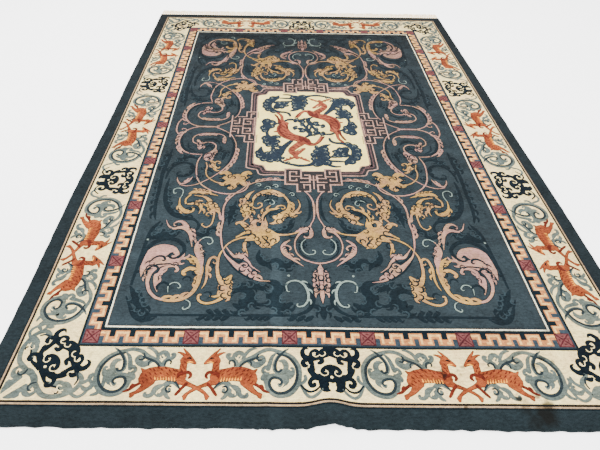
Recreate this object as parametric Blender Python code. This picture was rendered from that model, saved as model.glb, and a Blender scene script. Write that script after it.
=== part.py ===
"""Hand-knotted Peking rug lying flat: a thick wool cloth with a cotton fringe at its far end.

Metres, +Z up. The underside lies on z = 0 and the fringe points to +Y.
"""
import math

import bpy
import bmesh

# Cloth: woven size, thickness of the foundation and pile together, and the soft rounding of its rim
CLOTH_WIDTH = 2.74
CLOTH_LENGTH = 3.95
CLOTH_THICKNESS = 0.012
RIM_ROUND = 0.004

# The rug came off the loom a little out of square: at the near end the right side runs on by this
# much and the left side stops short by as much
NEAR_SKEW = 0.041

# The selvedges wander in and out by a few millimetres, less towards the far end
SIDE_WANDER = 0.005
SIDE_WAVES = 2.6

# Ripple: a soft buckle that starts at the middle of the near end, where the edge is drawn in a little
RIPPLE_X = -0.022
RIPPLE_HALF_WIDTH = 0.090
RIPPLE_HEIGHT = 0.017
RIPPLE_REACH = 0.36
RIPPLE_PULL = 0.014
PULL_HALF_WIDTH = 0.135

# Creases from folded storage: one runs lengthwise in the near half, one crosswise near the middle
CREASE_HEIGHT = 0.0025
CREASE_HALF_WIDTH = 0.045
LONG_CREASE_X = -0.262
CROSS_CREASE_Y = 0.103

# Even grid of the cloth, before the ripple and creases add lines of their own
COLUMNS = 18
ROWS = 26
RIPPLE_LINES = 4
CREASE_LINES = (-1.0, -0.5, 0.0, 0.5, 1.0)

# Fringe: a flat-woven strip of the warp ends, and the locks that hang from it
FRINGE_GAP = 0.0003
STRIP_DEPTH = 0.022
STRIP_THICKNESS = 0.0045
LOCK_COUNT = 150
LOCK_SHARE = 0.62
LOCK_LENGTH = 0.112
LOCK_STEPS = ((0.45, 0.86, 0.0040), (1.0, 0.50, 0.0030))
LOCK_UNEVEN = 0.16
LOCK_SWAY = 0.006

# The whole rug, fringe included, is centred on the origin
CENTRE_Y = (NEAR_SKEW - FRINGE_GAP - STRIP_DEPTH - LOCK_LENGTH) / 2


def bump(distance, half_width):
    """A smooth hill: 1 at its crest, 0 from half_width on."""
    share = min(abs(distance) / half_width, 1.0)
    return (math.cos(math.pi * share) + 1.0) / 2.0


def lie(u, v):
    """Where a point of the flat-woven cloth lies: its place on the floor and its lift off it."""
    near = 0.5 - v / CLOTH_LENGTH
    wander = math.sin(2 * math.pi * SIDE_WAVES * near) * (1.0 if u < 0 else -0.8)
    x = u + SIDE_WANDER * wander * near * abs(2 * u / CLOTH_WIDTH) ** 3
    y = v - NEAR_SKEW * near * 2 * u / CLOTH_WIDTH
    fade = bump(v + CLOTH_LENGTH / 2, RIPPLE_REACH)
    ripple = bump(u - RIPPLE_X, RIPPLE_HALF_WIDTH) * fade
    pulled = bump(u - RIPPLE_X, PULL_HALF_WIDTH) * fade
    along = bump(u - LONG_CREASE_X, CREASE_HALF_WIDTH) * min(1.0, max(0.0, 2 * near - 1.0) * 4)
    across = bump(v - CROSS_CREASE_Y, CREASE_HALF_WIDTH)
    lift = RIPPLE_HEIGHT * ripple + CREASE_HEIGHT * max(along, across)
    return x, y + RIPPLE_PULL * pulled, lift


def add_material(obj, name, colour, roughness):
    material = bpy.data.materials.new(name)
    material.use_nodes = True
    shader = material.node_tree.nodes["Principled BSDF"]
    shader.inputs["Base Color"].default_value = (*colour, 1.0)
    shader.inputs["Roughness"].default_value = roughness
    shader.inputs["Metallic"].default_value = 0.0
    obj.data.materials.append(material)


def add_object(name, bm):
    mesh = bpy.data.meshes.new(name)
    bm.to_mesh(mesh)
    bm.free()
    obj = bpy.data.objects.new(name, mesh)
    obj.location.y = CENTRE_Y
    bpy.context.scene.collection.objects.link(obj)
    return obj


def cut_line(bm, axis, place):
    """Adds one line of points across the whole cloth, at x or y = place."""
    spot = [0.0, 0.0, 0.0]
    spot[axis] = place
    normal = [0.0, 0.0, 0.0]
    normal[axis] = 1.0
    bmesh.ops.bisect_plane(
        bm, geom=bm.verts[:] + bm.edges[:] + bm.faces[:], dist=0.002, plane_co=spot, plane_no=normal
    )


def build_cloth():
    bm = bmesh.new()
    bmesh.ops.create_grid(bm, x_segments=COLUMNS, y_segments=ROWS, size=0.5)
    bmesh.ops.scale(bm, vec=(CLOTH_WIDTH, CLOTH_LENGTH, 1.0), verts=bm.verts[:])

    for step in range(-RIPPLE_LINES, RIPPLE_LINES + 1):
        cut_line(bm, 0, RIPPLE_X + RIPPLE_HALF_WIDTH * step / RIPPLE_LINES)
        cut_line(bm, 1, -CLOTH_LENGTH / 2 + RIPPLE_REACH * abs(step) / RIPPLE_LINES)
    for share in CREASE_LINES:
        cut_line(bm, 0, LONG_CREASE_X + CREASE_HALF_WIDTH * share)
        cut_line(bm, 1, CROSS_CREASE_Y + CREASE_HALF_WIDTH * share)

    for vert in bm.verts:
        vert.co = lie(vert.co.x, vert.co.y)
    top = bmesh.ops.extrude_face_region(bm, geom=bm.faces[:])["geom"]
    top_verts = [item for item in top if isinstance(item, bmesh.types.BMVert)]
    bmesh.ops.translate(bm, vec=(0.0, 0.0, CLOTH_THICKNESS), verts=top_verts)
    bmesh.ops.recalc_face_normals(bm, faces=bm.faces[:])

    walls = {face for face in bm.faces if abs(face.normal.z) < 0.5}
    rim = [
        edge for edge in bm.edges
        if any(face in walls for face in edge.link_faces)
        and any(face.normal.z > 0.5 for face in edge.link_faces)
    ]
    bmesh.ops.bevel(
        bm, geom=rim, offset=RIM_ROUND, offset_type="OFFSET", segments=2, profile=0.5,
        affect="EDGES", material=-1, clamp_overlap=True
    )
    for face in bm.faces:
        face.smooth = True
    cloth = add_object("rug", bm)
    cloth.data.set_sharp_from_angle(angle=math.radians(50))
    add_material(cloth, "wool pile", (0.075, 0.11, 0.14), 0.95)


def build_fringe():
    pitch = CLOTH_WIDTH / LOCK_COUNT
    stations = [-CLOTH_WIDTH / 2]
    for index in range(LOCK_COUNT):
        middle = -CLOTH_WIDTH / 2 + (index + 0.5) * pitch
        stations += [middle - LOCK_SHARE * pitch / 2, middle + LOCK_SHARE * pitch / 2]
    stations.append(CLOTH_WIDTH / 2)
    root_y = CLOTH_LENGTH / 2 + FRINGE_GAP + STRIP_DEPTH

    # The strip is a grid with one cell for each lock and each space, given its thickness by an extrusion
    bm = bmesh.new()
    bmesh.ops.create_grid(bm, x_segments=len(stations) - 1, y_segments=1, size=0.5)
    for vert in bm.verts:
        column = round((vert.co.x + 0.5) * (len(stations) - 1))
        vert.co.x = stations[column]
        vert.co.y = root_y if vert.co.y > 0 else root_y - STRIP_DEPTH
    top = bmesh.ops.extrude_face_region(bm, geom=bm.faces[:])["geom"]
    top_verts = [item for item in top if isinstance(item, bmesh.types.BMVert)]
    bmesh.ops.translate(bm, vec=(0.0, 0.0, STRIP_THICKNESS), verts=top_verts)
    bmesh.ops.recalc_face_normals(bm, faces=bm.faces[:])

    # Every lock is drawn out of its own root face, swaying and tapering, with its underside on the floor
    far_faces = [face for face in bm.faces if face.normal.y > 0.9]
    far_faces.sort(key=lambda face: face.calc_center_median().x)
    roots = far_faces[1::2]
    for index, root in enumerate(roots):
        middle = root.calc_center_median().x
        uneven = (math.sin(1.9 * index) + math.sin(0.57 * index + 1.0)) / 2
        length = LOCK_LENGTH * (1.0 - LOCK_UNEVEN * (1.0 - uneven) / 2)
        sway = LOCK_SWAY * math.sin(0.31 * index + 0.6) + LOCK_SWAY / 4 * math.sin(2.3 * index)
        face = root
        for along, width_share, height in LOCK_STEPS:
            face = bmesh.ops.extrude_discrete_faces(bm, faces=[face])["faces"][0]
            half_width = LOCK_SHARE * pitch * width_share / 2
            for vert in face.verts:
                side = 1.0 if vert.co.x > face.calc_center_median().x else -1.0
                upper = vert.co.z > 0.001
                vert.co = (
                    middle + sway * along ** 1.5 + side * half_width,
                    root_y + length * along,
                    height if upper else 0.0
                )
    fringe = add_object("fringe", bm)
    add_material(fringe, "cotton warp", (0.72, 0.66, 0.55), 0.9)


for old in list(bpy.data.objects):
    bpy.data.objects.remove(old, do_unlink=True)
build_cloth()
build_fringe()
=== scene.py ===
import math
from functools import partial

import bpy
import bmesh
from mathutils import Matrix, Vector, noise


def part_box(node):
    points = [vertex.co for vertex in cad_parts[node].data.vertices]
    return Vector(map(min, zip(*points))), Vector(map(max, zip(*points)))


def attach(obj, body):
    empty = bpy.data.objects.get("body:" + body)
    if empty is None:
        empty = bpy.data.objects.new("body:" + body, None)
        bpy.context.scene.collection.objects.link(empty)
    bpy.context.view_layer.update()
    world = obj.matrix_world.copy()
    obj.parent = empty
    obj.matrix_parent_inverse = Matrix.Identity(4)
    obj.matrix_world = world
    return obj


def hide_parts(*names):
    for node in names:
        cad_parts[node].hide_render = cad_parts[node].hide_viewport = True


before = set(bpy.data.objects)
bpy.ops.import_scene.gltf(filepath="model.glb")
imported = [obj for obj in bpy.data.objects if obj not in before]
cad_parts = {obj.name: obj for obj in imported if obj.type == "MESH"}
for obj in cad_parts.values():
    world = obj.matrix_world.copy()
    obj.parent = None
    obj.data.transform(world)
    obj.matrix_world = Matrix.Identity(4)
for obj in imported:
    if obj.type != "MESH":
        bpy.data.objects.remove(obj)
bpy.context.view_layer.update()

# Cloth
# The rug is one cloth: wool knotted on a cotton warp and weft, then sheared level. Its outer band is
# navy pile, which wraps over the selvedges, and everything else is knotted into the same face.
# It lies flat but for a soft ripple at its near end and two creases from folded storage.
WIDTH, LENGTH = 2.74, 3.95
FACE = 0.0112
MM = 0.001
CENTRE_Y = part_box("rug")[1][1] - LENGTH / 2
NEAR_SKEW = 0.041
SIDE_WANDER, SIDE_WAVES = 0.005, 2.6
RIPPLE_X, RIPPLE_HALF_WIDTH, RIPPLE_HEIGHT = -0.022, 0.090, 0.017
RIPPLE_REACH, RIPPLE_PULL, PULL_HALF_WIDTH = 0.36, 0.014, 0.135
CREASE_HEIGHT, CREASE_HALF_WIDTH = 0.0025, 0.045
LONG_CREASE_X, CROSS_CREASE_Y = -0.262, 0.103
# The knotter's waver: its waves in a metre and its reach, slow and quick, and how far in it begins
SLOW_WAVES, SLOW_REACH, QUICK_WAVES, QUICK_REACH = 2.3, 0.003, 31, 0.0012
WAVER_MARGIN = 0.125
# Without a seed the noise would start from another place at every run
noise.seed_set(7)


def bump(distance, half_width):
    """A smooth hill: 1 at its crest, 0 from half_width on."""
    share = min(abs(distance) / half_width, 1.0)
    return (math.cos(math.pi * share) + 1.0) / 2.0


def hand(u, v):
    """The small waver of a hand-knotted pattern, in metres, which dies out towards the selvedges."""
    inside = min(1.0, max(0.0, min(WIDTH / 2 - abs(u), LENGTH / 2 - abs(v))) / WAVER_MARGIN)
    slow = noise.noise_vector(Vector((SLOW_WAVES * u, SLOW_WAVES * v, 0.3)))
    quick = noise.noise_vector(Vector((QUICK_WAVES * u, QUICK_WAVES * v, 5.1)))
    return tuple(inside * (SLOW_REACH * slow[axis] + QUICK_REACH * quick[axis]) for axis in (0, 1))


def lie(u, v):
    """Where a point of the flat-woven cloth lies: its place on the floor and its lift off it."""
    near = 0.5 - v / LENGTH
    wander = math.sin(2 * math.pi * SIDE_WAVES * near) * (1.0 if u < 0 else -0.8)
    x = u + SIDE_WANDER * wander * near * abs(2 * u / WIDTH) ** 3
    y = v - NEAR_SKEW * near * 2 * u / WIDTH
    along_weight = bump(v + LENGTH / 2, RIPPLE_REACH)
    ripple = bump(u - RIPPLE_X, RIPPLE_HALF_WIDTH) * along_weight
    pulled = bump(u - RIPPLE_X, PULL_HALF_WIDTH) * along_weight
    along = bump(u - LONG_CREASE_X, CREASE_HALF_WIDTH) * min(1.0, max(0.0, 2 * near - 1.0) * 4)
    across = bump(v - CROSS_CREASE_Y, CREASE_HALF_WIDTH)
    lift = RIPPLE_HEIGHT * ripple + CREASE_HEIGHT * max(along, across)
    shift_x, shift_y = hand(u, v)
    return x + shift_x, y + RIPPLE_PULL * pulled + shift_y + CENTRE_Y, lift


def cloth_lines(half, pitch, extra):
    """Places of the grid lines of the cloth along one direction: an even pitch, closer where it bends."""
    count = round(2 * half / pitch)
    lines = [-half + 2 * half * index / count for index in range(count + 1)]
    for middle, reach, steps in extra:
        lines = [line for line in lines if abs(line - middle) > reach or abs(line) == half]
        lines += [middle + reach * step / steps for step in range(-steps, steps + 1)]
    return sorted(line for line in set(lines) if abs(line) <= half)


# How far from the middle of a bend the lines lie closer, and how many lie on each side of it
RIPPLE_LINES, CREASE_LINES = (0.14, 16), (0.05, 6)
GRID_PITCH = 0.034
LINES_X = cloth_lines(WIDTH / 2, GRID_PITCH, [(RIPPLE_X, *RIPPLE_LINES), (LONG_CREASE_X, *CREASE_LINES)])
LINES_Y = cloth_lines(LENGTH / 2, GRID_PITCH, [(CROSS_CREASE_Y, *CREASE_LINES)])


def cloth_grid(bm, low, high, height):
    """A flat stretch of cloth on those lines, from corner low to corner high in mm."""
    places = []
    for axis, lines in enumerate((LINES_X, LINES_Y)):
        start, end = low[axis] * MM, high[axis] * MM
        places.append([start, *(line for line in lines if start + MM < line < end - MM), end])
    columns, rows = len(places[0]) - 1, len(places[1]) - 1
    grid = bmesh.ops.create_grid(bm, x_segments=columns, y_segments=rows, size=0.5)
    for vert in grid["verts"]:
        column = round((vert.co.x + 0.5) * columns)
        row = round((vert.co.y + 0.5) * rows)
        vert.co = (places[0][column], places[1][row], height)


def lay(bm):
    """Lays a pattern that was drawn flat onto the cloth as it lies."""
    for vert in bm.verts:
        x, y, lift = lie(vert.co.x, vert.co.y)
        vert.co = (x, y, vert.co.z + lift)


def dye(red, green, blue):
    """A yarn's colour, given as it looks on a screen from 0 to 255, in the shader's own light."""
    tones = (tone / 255 for tone in (red, green, blue))
    return (*(tone / 12.92 if tone < 0.04 else ((tone + 0.055) / 1.055) ** 2.4 for tone in tones), 1.0)


def new_group(name, inputs, outputs):
    """An empty shader group whose inputs are given as name: default."""
    group = bpy.data.node_groups.new(name, "ShaderNodeTree")
    for label, value in inputs.items():
        kind = "NodeSocketColor" if isinstance(value, tuple) else "NodeSocketFloat"
        group.interface.new_socket(label, in_out="INPUT", socket_type=kind).default_value = value
    for label, kind in outputs.items():
        group.interface.new_socket(label, in_out="OUTPUT", socket_type=kind)
    return group, group.nodes.new("NodeGroupInput"), group.nodes.new("NodeGroupOutput")


def ranged(group, value, start, end, low, high):
    """The value spread anew: low at start and before it, high from end on."""
    spread = group.nodes.new("ShaderNodeMapRange")
    for label, amount in zip(("From Min", "From Max", "To Min", "To Max"), (start, end, low, high)):
        spread.inputs[label].default_value = amount
    group.links.new(value, spread.inputs["Value"])
    return spread.outputs["Result"]


# The tones between which nearly all of the noise lies
NOISE_LOW, NOISE_HIGH = 0.3, 0.7


def spotted(group, scale, detail, low, high, squeeze=(1, 1, 1), seed=0.0):
    """Noise over the object, spread from low to high, with its own scale along X, Y and Z."""
    place = group.nodes.new("ShaderNodeTexCoord")
    fit = group.nodes.new("ShaderNodeMapping")
    fit.inputs["Scale"].default_value = squeeze
    fit.inputs["Location"].default_value = (seed, seed, seed)
    cloud = group.nodes.new("ShaderNodeTexNoise")
    cloud.inputs["Scale"].default_value = scale
    cloud.inputs["Detail"].default_value = detail
    group.links.new(place.outputs["Object"], fit.inputs["Vector"])
    group.links.new(fit.outputs["Vector"], cloud.inputs["Vector"])
    return ranged(group, cloud.outputs["Fac"], NOISE_LOW, NOISE_HIGH, low, high)


def arithmetic(group, operation, first, second):
    """One maths node; second is a socket or a number."""
    node = group.nodes.new("ShaderNodeMath")
    node.operation = operation
    group.links.new(first, node.inputs[0])
    if isinstance(second, float):
        node.inputs[1].default_value = second
    else:
        group.links.new(second, node.inputs[1])
    return node.outputs[0]


def weighed(group, *terms):
    """The sum of some sockets, each times its weight, which is a socket or a number."""
    parts = [arithmetic(group, "MULTIPLY", socket, weight) for socket, weight in terms]
    total = parts[0]
    for part in parts[1:]:
        total = arithmetic(group, "ADD", total, part)
    return total


def mixed(group, factor, first, second):
    """Two colours mixed by a factor; second is a socket or a colour."""
    mix = group.nodes.new("ShaderNodeMix")
    mix.data_type = "RGBA"
    group.links.new(factor, mix.inputs["Factor"])
    group.links.new(first, mix.inputs["A"])
    if isinstance(second, tuple):
        mix.inputs["B"].default_value = second
    else:
        group.links.new(second, mix.inputs["B"])
    return mix.outputs["Result"]


def put_out(group, out, colour, tone, height):
    """Puts out the colour made lighter or darker by its tone, and the height for a relief."""
    shaded = group.nodes.new("ShaderNodeVectorMath")
    shaded.operation = "SCALE"
    group.links.new(colour, shaded.inputs[0])
    group.links.new(tone, shaded.inputs["Scale"])
    group.links.new(shaded.outputs["Vector"], out.inputs["Color"])
    group.links.new(height, out.inputs["Height"])


MID_GREY = (0.5, 0.5, 0.5, 1.0)
# How much single knots, clumps of them and their rows add to the grain
KNOT_SHARE, CLUMP_SHARE, ROW_SHARE = 0.28, 0.36, 0.08
# Painted nap sheen and shade along the rug: lighter from the near end up to one line, darker from another to
# the far end
NAP_SHEEN_END, NEAR_NAP_SHEEN, MIDDLE_NAP_SHEEN = -0.3, 0.5, -0.1
NAP_SHADE_START, FAR_NAP_SHADE = 0.6, -0.9
# The painted sheen band beside the lengthwise crease: its middle and half width, the line where it ends, and
# its tone
CREASE_SHEEN_X, CREASE_SHEEN_HALF_WIDTH, CREASE_SHEEN_END, CREASE_SHEEN_TONE = -0.232, 0.032, -0.35, 0.55


def make_pile_group():
    """Cut wool pile: bands of uneven dye, mottled wear, grain, and painted nap sheen and shade that change
    along the rug.
    """
    group, given, out = new_group(
        "cut wool pile",
        {"Yarn": MID_GREY, "Second": MID_GREY, "Share": 0.0, "Abrash": 0.08, "Mottle": 0.09, "Fade": 0.0,
         "Grain": 1.0},
        {"Color": "NodeSocketColor", "Height": "NodeSocketFloat"}
    )
    bands = spotted(group, 1.0, 3.0, -1.0, 1.0, squeeze=(0.5, 7.0, 1.0))
    blotches = spotted(group, 17.0, 4.0, -1.0, 1.0, seed=3.0)
    clumps = spotted(group, 85.0, 4.0, -1.0, 1.0, squeeze=(0.7, 1.3, 1.0), seed=9.0)
    knots = spotted(group, 260.0, 2.0, -1.0, 1.0, seed=7.0)
    rows = spotted(group, 40.0, 3.0, -1.0, 1.0, squeeze=(0.35, 3.2, 1.0), seed=13.0)
    grain = weighed(group, (knots, KNOT_SHARE), (clumps, CLUMP_SHARE), (rows, ROW_SHARE))

    # Two dyes that run into each other in patches, as where the spinner changed batches
    patches = spotted(group, 10.0, 3.0, -0.4, 1.4, seed=11.0)
    patches = arithmetic(group, "MULTIPLY", patches, given.outputs["Share"])
    yarn = mixed(group, patches, given.outputs["Yarn"], given.outputs["Second"])

    place = group.nodes.new("ShaderNodeTexCoord")
    split = group.nodes.new("ShaderNodeSeparateXYZ")
    group.links.new(place.outputs["Object"], split.inputs["Vector"])
    along = split.outputs["Y"]
    # Painted nap sheen and shade: lighter towards the near end, darker towards the far end
    near = ranged(group, along, -LENGTH / 2, NAP_SHEEN_END, NEAR_NAP_SHEEN, MIDDLE_NAP_SHEEN)
    far = ranged(group, along, NAP_SHADE_START, LENGTH / 2, 0.0, FAR_NAP_SHADE)

    # Painted sheen: a lighter band where the nap stands brushed up beside the lengthwise crease, from the
    # near end to the middle
    aside = arithmetic(group, "SUBTRACT", split.outputs["X"], CREASE_SHEEN_X)
    aside = arithmetic(group, "ABSOLUTE", aside, 0.0)
    band = ranged(group, aside, CREASE_SHEEN_HALF_WIDTH * 0.6, CREASE_SHEEN_HALF_WIDTH, CREASE_SHEEN_TONE, 0.0)
    band = arithmetic(group, "MULTIPLY", band, arithmetic(group, "LESS_THAN", along, CREASE_SHEEN_END))
    profile = arithmetic(group, "ADD", arithmetic(group, "ADD", near, far), band)

    tone = weighed(group, (bands, given.outputs["Abrash"]), (blotches, given.outputs["Mottle"]),
                   (grain, given.outputs["Grain"]), (profile, given.outputs["Fade"]))
    put_out(group, out, yarn, arithmetic(group, "ADD", tone, 1.0), knots)
    return group


SOIL_SPOTS = (
    # x, y, radius and strength of each dark spot, in mm from the rug's middle
    (790, -1925, 42, 0.85), (812, -1885, 26, 0.8), (745, -1950, 34, 0.55), (720, -1900, 24, 0.45),
    (708, -1862, 13, 0.9), (730, -1872, 20, 0.35), (780, -1846, 12, 0.7), (440, -1768, 13, 0.75),
    (437, -1742, 7, 0.7), (500, -1738, 9, 0.4), (512, -1762, 8, 0.45), (524, -1726, 5, 0.5),
    (868, -1690, 12, 0.6), (905, -1702, 7, 0.5), (826, -1722, 14, 0.45), (488, -1892, 5, 0.7),
)
# How far from its middle a spot begins to fade, and where it ends, as shares of its radius
SPOT_CORE, SPOT_EDGE = 0.5, 1.35


def make_soil_group():
    """Old spills: dark soft-edged spots near one corner, and a faint grey film in wandering patches."""
    group, given, out = new_group("soil", {"Color": MID_GREY}, {"Color": "NodeSocketColor"})
    ragged = spotted(group, 42.0, 3.0, -0.010, 0.010, seed=1.0)
    total = spotted(group, 3.1, 4.0, -0.10, 0.12, seed=5.0)
    place = group.nodes.new("ShaderNodeTexCoord")
    for x, y, radius, strength in SOIL_SPOTS:
        across, up, _ = lie(x * MM, y * MM)
        away = group.nodes.new("ShaderNodeVectorMath")
        away.operation = "DISTANCE"
        away.inputs[1].default_value = (across, up, FACE)
        group.links.new(place.outputs["Object"], away.inputs[0])
        distance = arithmetic(group, "ADD", away.outputs["Value"], ragged)
        spot = ranged(group, distance, radius * MM * SPOT_CORE, radius * MM * SPOT_EDGE, strength, 0.0)
        total = arithmetic(group, "MAXIMUM", total, spot)
    group.links.new(mixed(group, total, given.outputs["Color"], dye(18, 17, 14)), out.inputs["Color"])
    return group


PILE_GROUP = make_pile_group()
SOIL_GROUP = make_soil_group()


def new_material(name, roughness, specular):
    """A plain matt material, with its nodes and its shader."""
    material = bpy.data.materials.new(name)
    material.use_nodes = True
    shader = material.node_tree.nodes["Principled BSDF"]
    shader.inputs["Roughness"].default_value = roughness
    shader.inputs["Specular IOR Level"].default_value = specular
    return material, material.node_tree, shader


def add_group(tree, group, **values):
    """Places a shader group in a material, with the material's own values."""
    node = tree.nodes.new("ShaderNodeGroup")
    node.node_tree = group
    for label, value in values.items():
        node.inputs[label].default_value = value
    return node


def add_relief(tree, shader, height, strength, depth):
    """Bumps on the surface, from a group's height and as deep as given in metres."""
    relief = tree.nodes.new("ShaderNodeBump")
    relief.inputs["Strength"].default_value = strength
    relief.inputs["Distance"].default_value = depth
    tree.links.new(height, relief.inputs["Height"])
    tree.links.new(relief.outputs["Normal"], shader.inputs["Normal"])


def wool(name, colour, abrash=0.07, mottle=0.08, along_weight=0.12, second=None, share=0.0, grain=1.0):
    """Cut pile of one yarn, or of two dyes of it: matt and soft, its tips catching light at a low angle, with
    painted nap sheen and shade along the rug.
    """
    material, tree, shader = new_material(name, roughness=0.92, specular=0.06)
    shader.inputs["Sheen Weight"].default_value = 0.02
    shader.inputs["Sheen Roughness"].default_value = 0.5
    pile = add_group(tree, PILE_GROUP, Yarn=dye(*colour), Second=dye(*(second or colour)), Share=share,
                     Abrash=abrash, Mottle=mottle, Fade=along_weight, Grain=grain)
    soil = add_group(tree, SOIL_GROUP)
    tree.links.new(pile.outputs["Color"], soil.inputs["Color"])
    tree.links.new(soil.outputs["Color"], shader.inputs["Base Color"])
    add_relief(tree, shader, pile.outputs["Height"], strength=0.55, depth=0.0012)
    return material


def smooth_mesh(name, bm):
    """The finished mesh of a bmesh, shaded smooth."""
    mesh = bpy.data.meshes.new(name)
    bm.to_mesh(mesh)
    bm.free()
    mesh.shade_smooth()
    return mesh


def linked(name, data):
    """A new object of the scene, at the origin."""
    new = bpy.data.objects.new(name, data)
    bpy.context.scene.collection.objects.link(new)
    return new


def add_pile(name, bm, material):
    """A yarn's knots as a piece of the cloth's face, laid where the cloth lies."""
    lay(bm)
    piece = linked(name, smooth_mesh(name, bm))
    piece.data.materials.append(material)
    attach(piece, "root")
    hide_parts("rug")
    return piece


def only_verts(items):
    return [item for item in items if isinstance(item, bmesh.types.BMVert)]


# Rounding of the rim, how near the edge a point is still rim, and how far its knots stray
RIM_ROUND, RIM_BAND = 0.006, 0.002
SIDE_STRAY, NEAR_STRAY = 0.0035, 0.007


def make_cloth():
    """The whole cloth with its rounded, slightly ragged rim and its flat back."""
    bm = bmesh.new()
    half_width, half_length = WIDTH / 2 / MM, LENGTH / 2 / MM
    cloth_grid(bm, (-half_width, -half_length), (half_width, half_length), 0.0)
    top = bmesh.ops.extrude_face_region(bm, geom=bm.faces[:])["geom"]
    bmesh.ops.translate(bm, vec=(0.0, 0.0, FACE), verts=only_verts(top))
    bmesh.ops.recalc_face_normals(bm, faces=bm.faces[:])
    walls = {face for face in bm.faces if abs(face.normal.z) < 0.5}
    rim = [
        edge for edge in bm.edges
        if any(face in walls for face in edge.link_faces)
        and any(face.normal.z > 0.5 for face in edge.link_faces)
    ]
    bmesh.ops.bevel(
        bm, geom=rim, offset=RIM_ROUND, offset_type="OFFSET", segments=3, profile=0.5,
        affect="EDGES", material=-1, clamp_overlap=True
    )
    for vert in bm.verts:
        near = vert.co.y < RIM_BAND - LENGTH / 2
        if abs(vert.co.x) > WIDTH / 2 - RIM_BAND or near:
            stray = noise.noise_vector(Vector((47 * vert.co.x, 31 * vert.co.y, 2.0)))
            vert.co.x += SIDE_STRAY * stray.x
            vert.co.y += (NEAR_STRAY if near else SIDE_STRAY) * stray.y
    return bm


NAVY = wool("navy wool", (25, 33, 36), abrash=0.14, mottle=0.22, along_weight=0.55)
cloth = add_pile("cloth_navy_pile", make_cloth(), NAVY)

# Grounds
# The panels of plain pile behind the patterns: the cream border, the rose-brown band of the frets and the
# slate-blue field, knotted into the one cloth and each sheared a little lower along its outline.
FIELD_CORNER = (953, 1551)
FRET_CORNER = (1037.5, 1642)
BORDER_CORNER = (1288.5, 1893)
# How far a ground stands above the navy pile, and how deep its edges go into it, in mm
GROUND_LIFT, SKIRT_DEPTH = 0.5, 0.8


def add_frame(bm, outer, inner, height):
    """A flat frame between two corner sizes in mm, its edges turned down into the pile."""
    (wide, long), (narrow, short) = outer, inner
    for low, high in (
        ((-wide, -long), (wide, -short)), ((-wide, short), (wide, long)),
        ((-wide, -short), (-narrow, short)), ((narrow, -short), (wide, short)),
    ):
        if low[0] < high[0] and low[1] < high[1]:
            cloth_grid(bm, low, high, height)
    bmesh.ops.remove_doubles(bm, verts=bm.verts[:], dist=MM / 20)
    rim = [edge for edge in bm.edges if len(edge.link_faces) == 1]
    skirt = bmesh.ops.extrude_edge_only(bm, edges=rim)["geom"]
    bmesh.ops.translate(bm, vec=(0.0, 0.0, -SKIRT_DEPTH * MM), verts=only_verts(skirt))


def add_ground(name, outer, inner, material):
    """A ground as a piece, from its outer corner in to the corner of the next one."""
    bm = bmesh.new()
    add_frame(bm, outer, inner, FACE + GROUND_LIFT * MM)
    add_pile(name, bm, material)


CREAM = wool("cream wool", (250, 228, 158), abrash=0.05, mottle=0.10, along_weight=0.16, second=(236, 196, 140),
             share=0.5, grain=0.8)
SLATE = wool("slate wool", (37, 46, 50), abrash=0.22, mottle=0.24, along_weight=0.9)
FAWN = wool("fawn wool", (186, 122, 74), mottle=0.10, along_weight=0.2)
add_ground("border_cream_pile", BORDER_CORNER, FRET_CORNER, CREAM)
add_ground("field_slate_pile", FIELD_CORNER, (0.0, 0.0), SLATE)
add_ground("fret_band_pile", FRET_CORNER, FIELD_CORNER, FAWN)

# Field scrollwork
# Curling leaves, rings and cloud bands in rose, gold and pale grey pile, drawn once for a quarter of the
# field and turned over to the other three, as weavers read one chart four ways.
FIELD_MIDDLE = (-20, -8)
# In mm: the step along a line, the rounding of a ribbon's edges, their depth, and its widest strip
STEP, EDGE_ROUND, EDGE_DEPTH, WIDEST_STRIP = 8.0, 1.5, 0.7, 26
# Width of a lobe and of a notch, as shares of their size, at shares of their length
LOBE_SHAPE = ((0.0, 0.60), (0.25, 0.62), (0.5, 0.52), (0.75, 0.38), (0.94, 0.22), (1.04, 0.08))
NOTCH_SHAPE = ((0.0, 0.10), (0.2, 0.20), (0.4, 0.24), (0.6, 0.24), (0.8, 0.21), (1.0, 0.10))
# How far the lowest ribbon stands up, each layer above it and each rise within a layer, in mm; after how
# many rises the lines start again from the lowest; and the rises from a line to the next one drawn
RIBBON_LIFT, LAYER_LIFT, RISE, RISES, LINE_RISES = 0.15, 0.35, 0.0045, 61, 4
# A comb: share of its lobes that are kept, growth of each, and the width from which a line has notches
COMB_SPREAD, LOBE_GAIN, NOTCHED_WIDTH = 0.8, 1.15, 22
# A lobe and a notch: where they start, the way they lean and bend, in degrees, and their length
LOBE_ROOT, LOBE_LEAN, LOBE_BEND, LOBE_LENGTH, LOBE_WIDTH = 0.3, 70, 40, 1.5, 0.95
NOTCH_BACK, NOTCH_OUT, NOTCH_LEAN, NOTCH_BEND, NOTCH_LENGTH = 0.52, 0.36, 88, 240, 1.75
# A curl: the degrees of one step, and how much it tightens and narrows towards its end
CURL_STEP, CURL_TIGHTENS, CURL_NARROWS = 24, 0.72, 0.35


def smooth(points):
    """Samples of a smooth curve through (x, y, width) points in mm, the width smoothed alike."""
    points = [points[0], *points, points[-1]]
    samples = []
    for a, b, c, d in zip(points, points[1:], points[2:], points[3:]):
        count = max(2, round(math.dist(b[:2], c[:2]) / STEP))
        for index in range(count):
            t = index / count
            samples.append([
                0.5 * (2 * q + (r - p) * t + (2 * p - 5 * q + 4 * r - s) * t * t
                       + (3 * q - p - 3 * r + s) * t ** 3)
                for p, q, r, s in zip(a, b, c, d)
            ])
    samples.append(list(points[-1]))
    return samples


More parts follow.
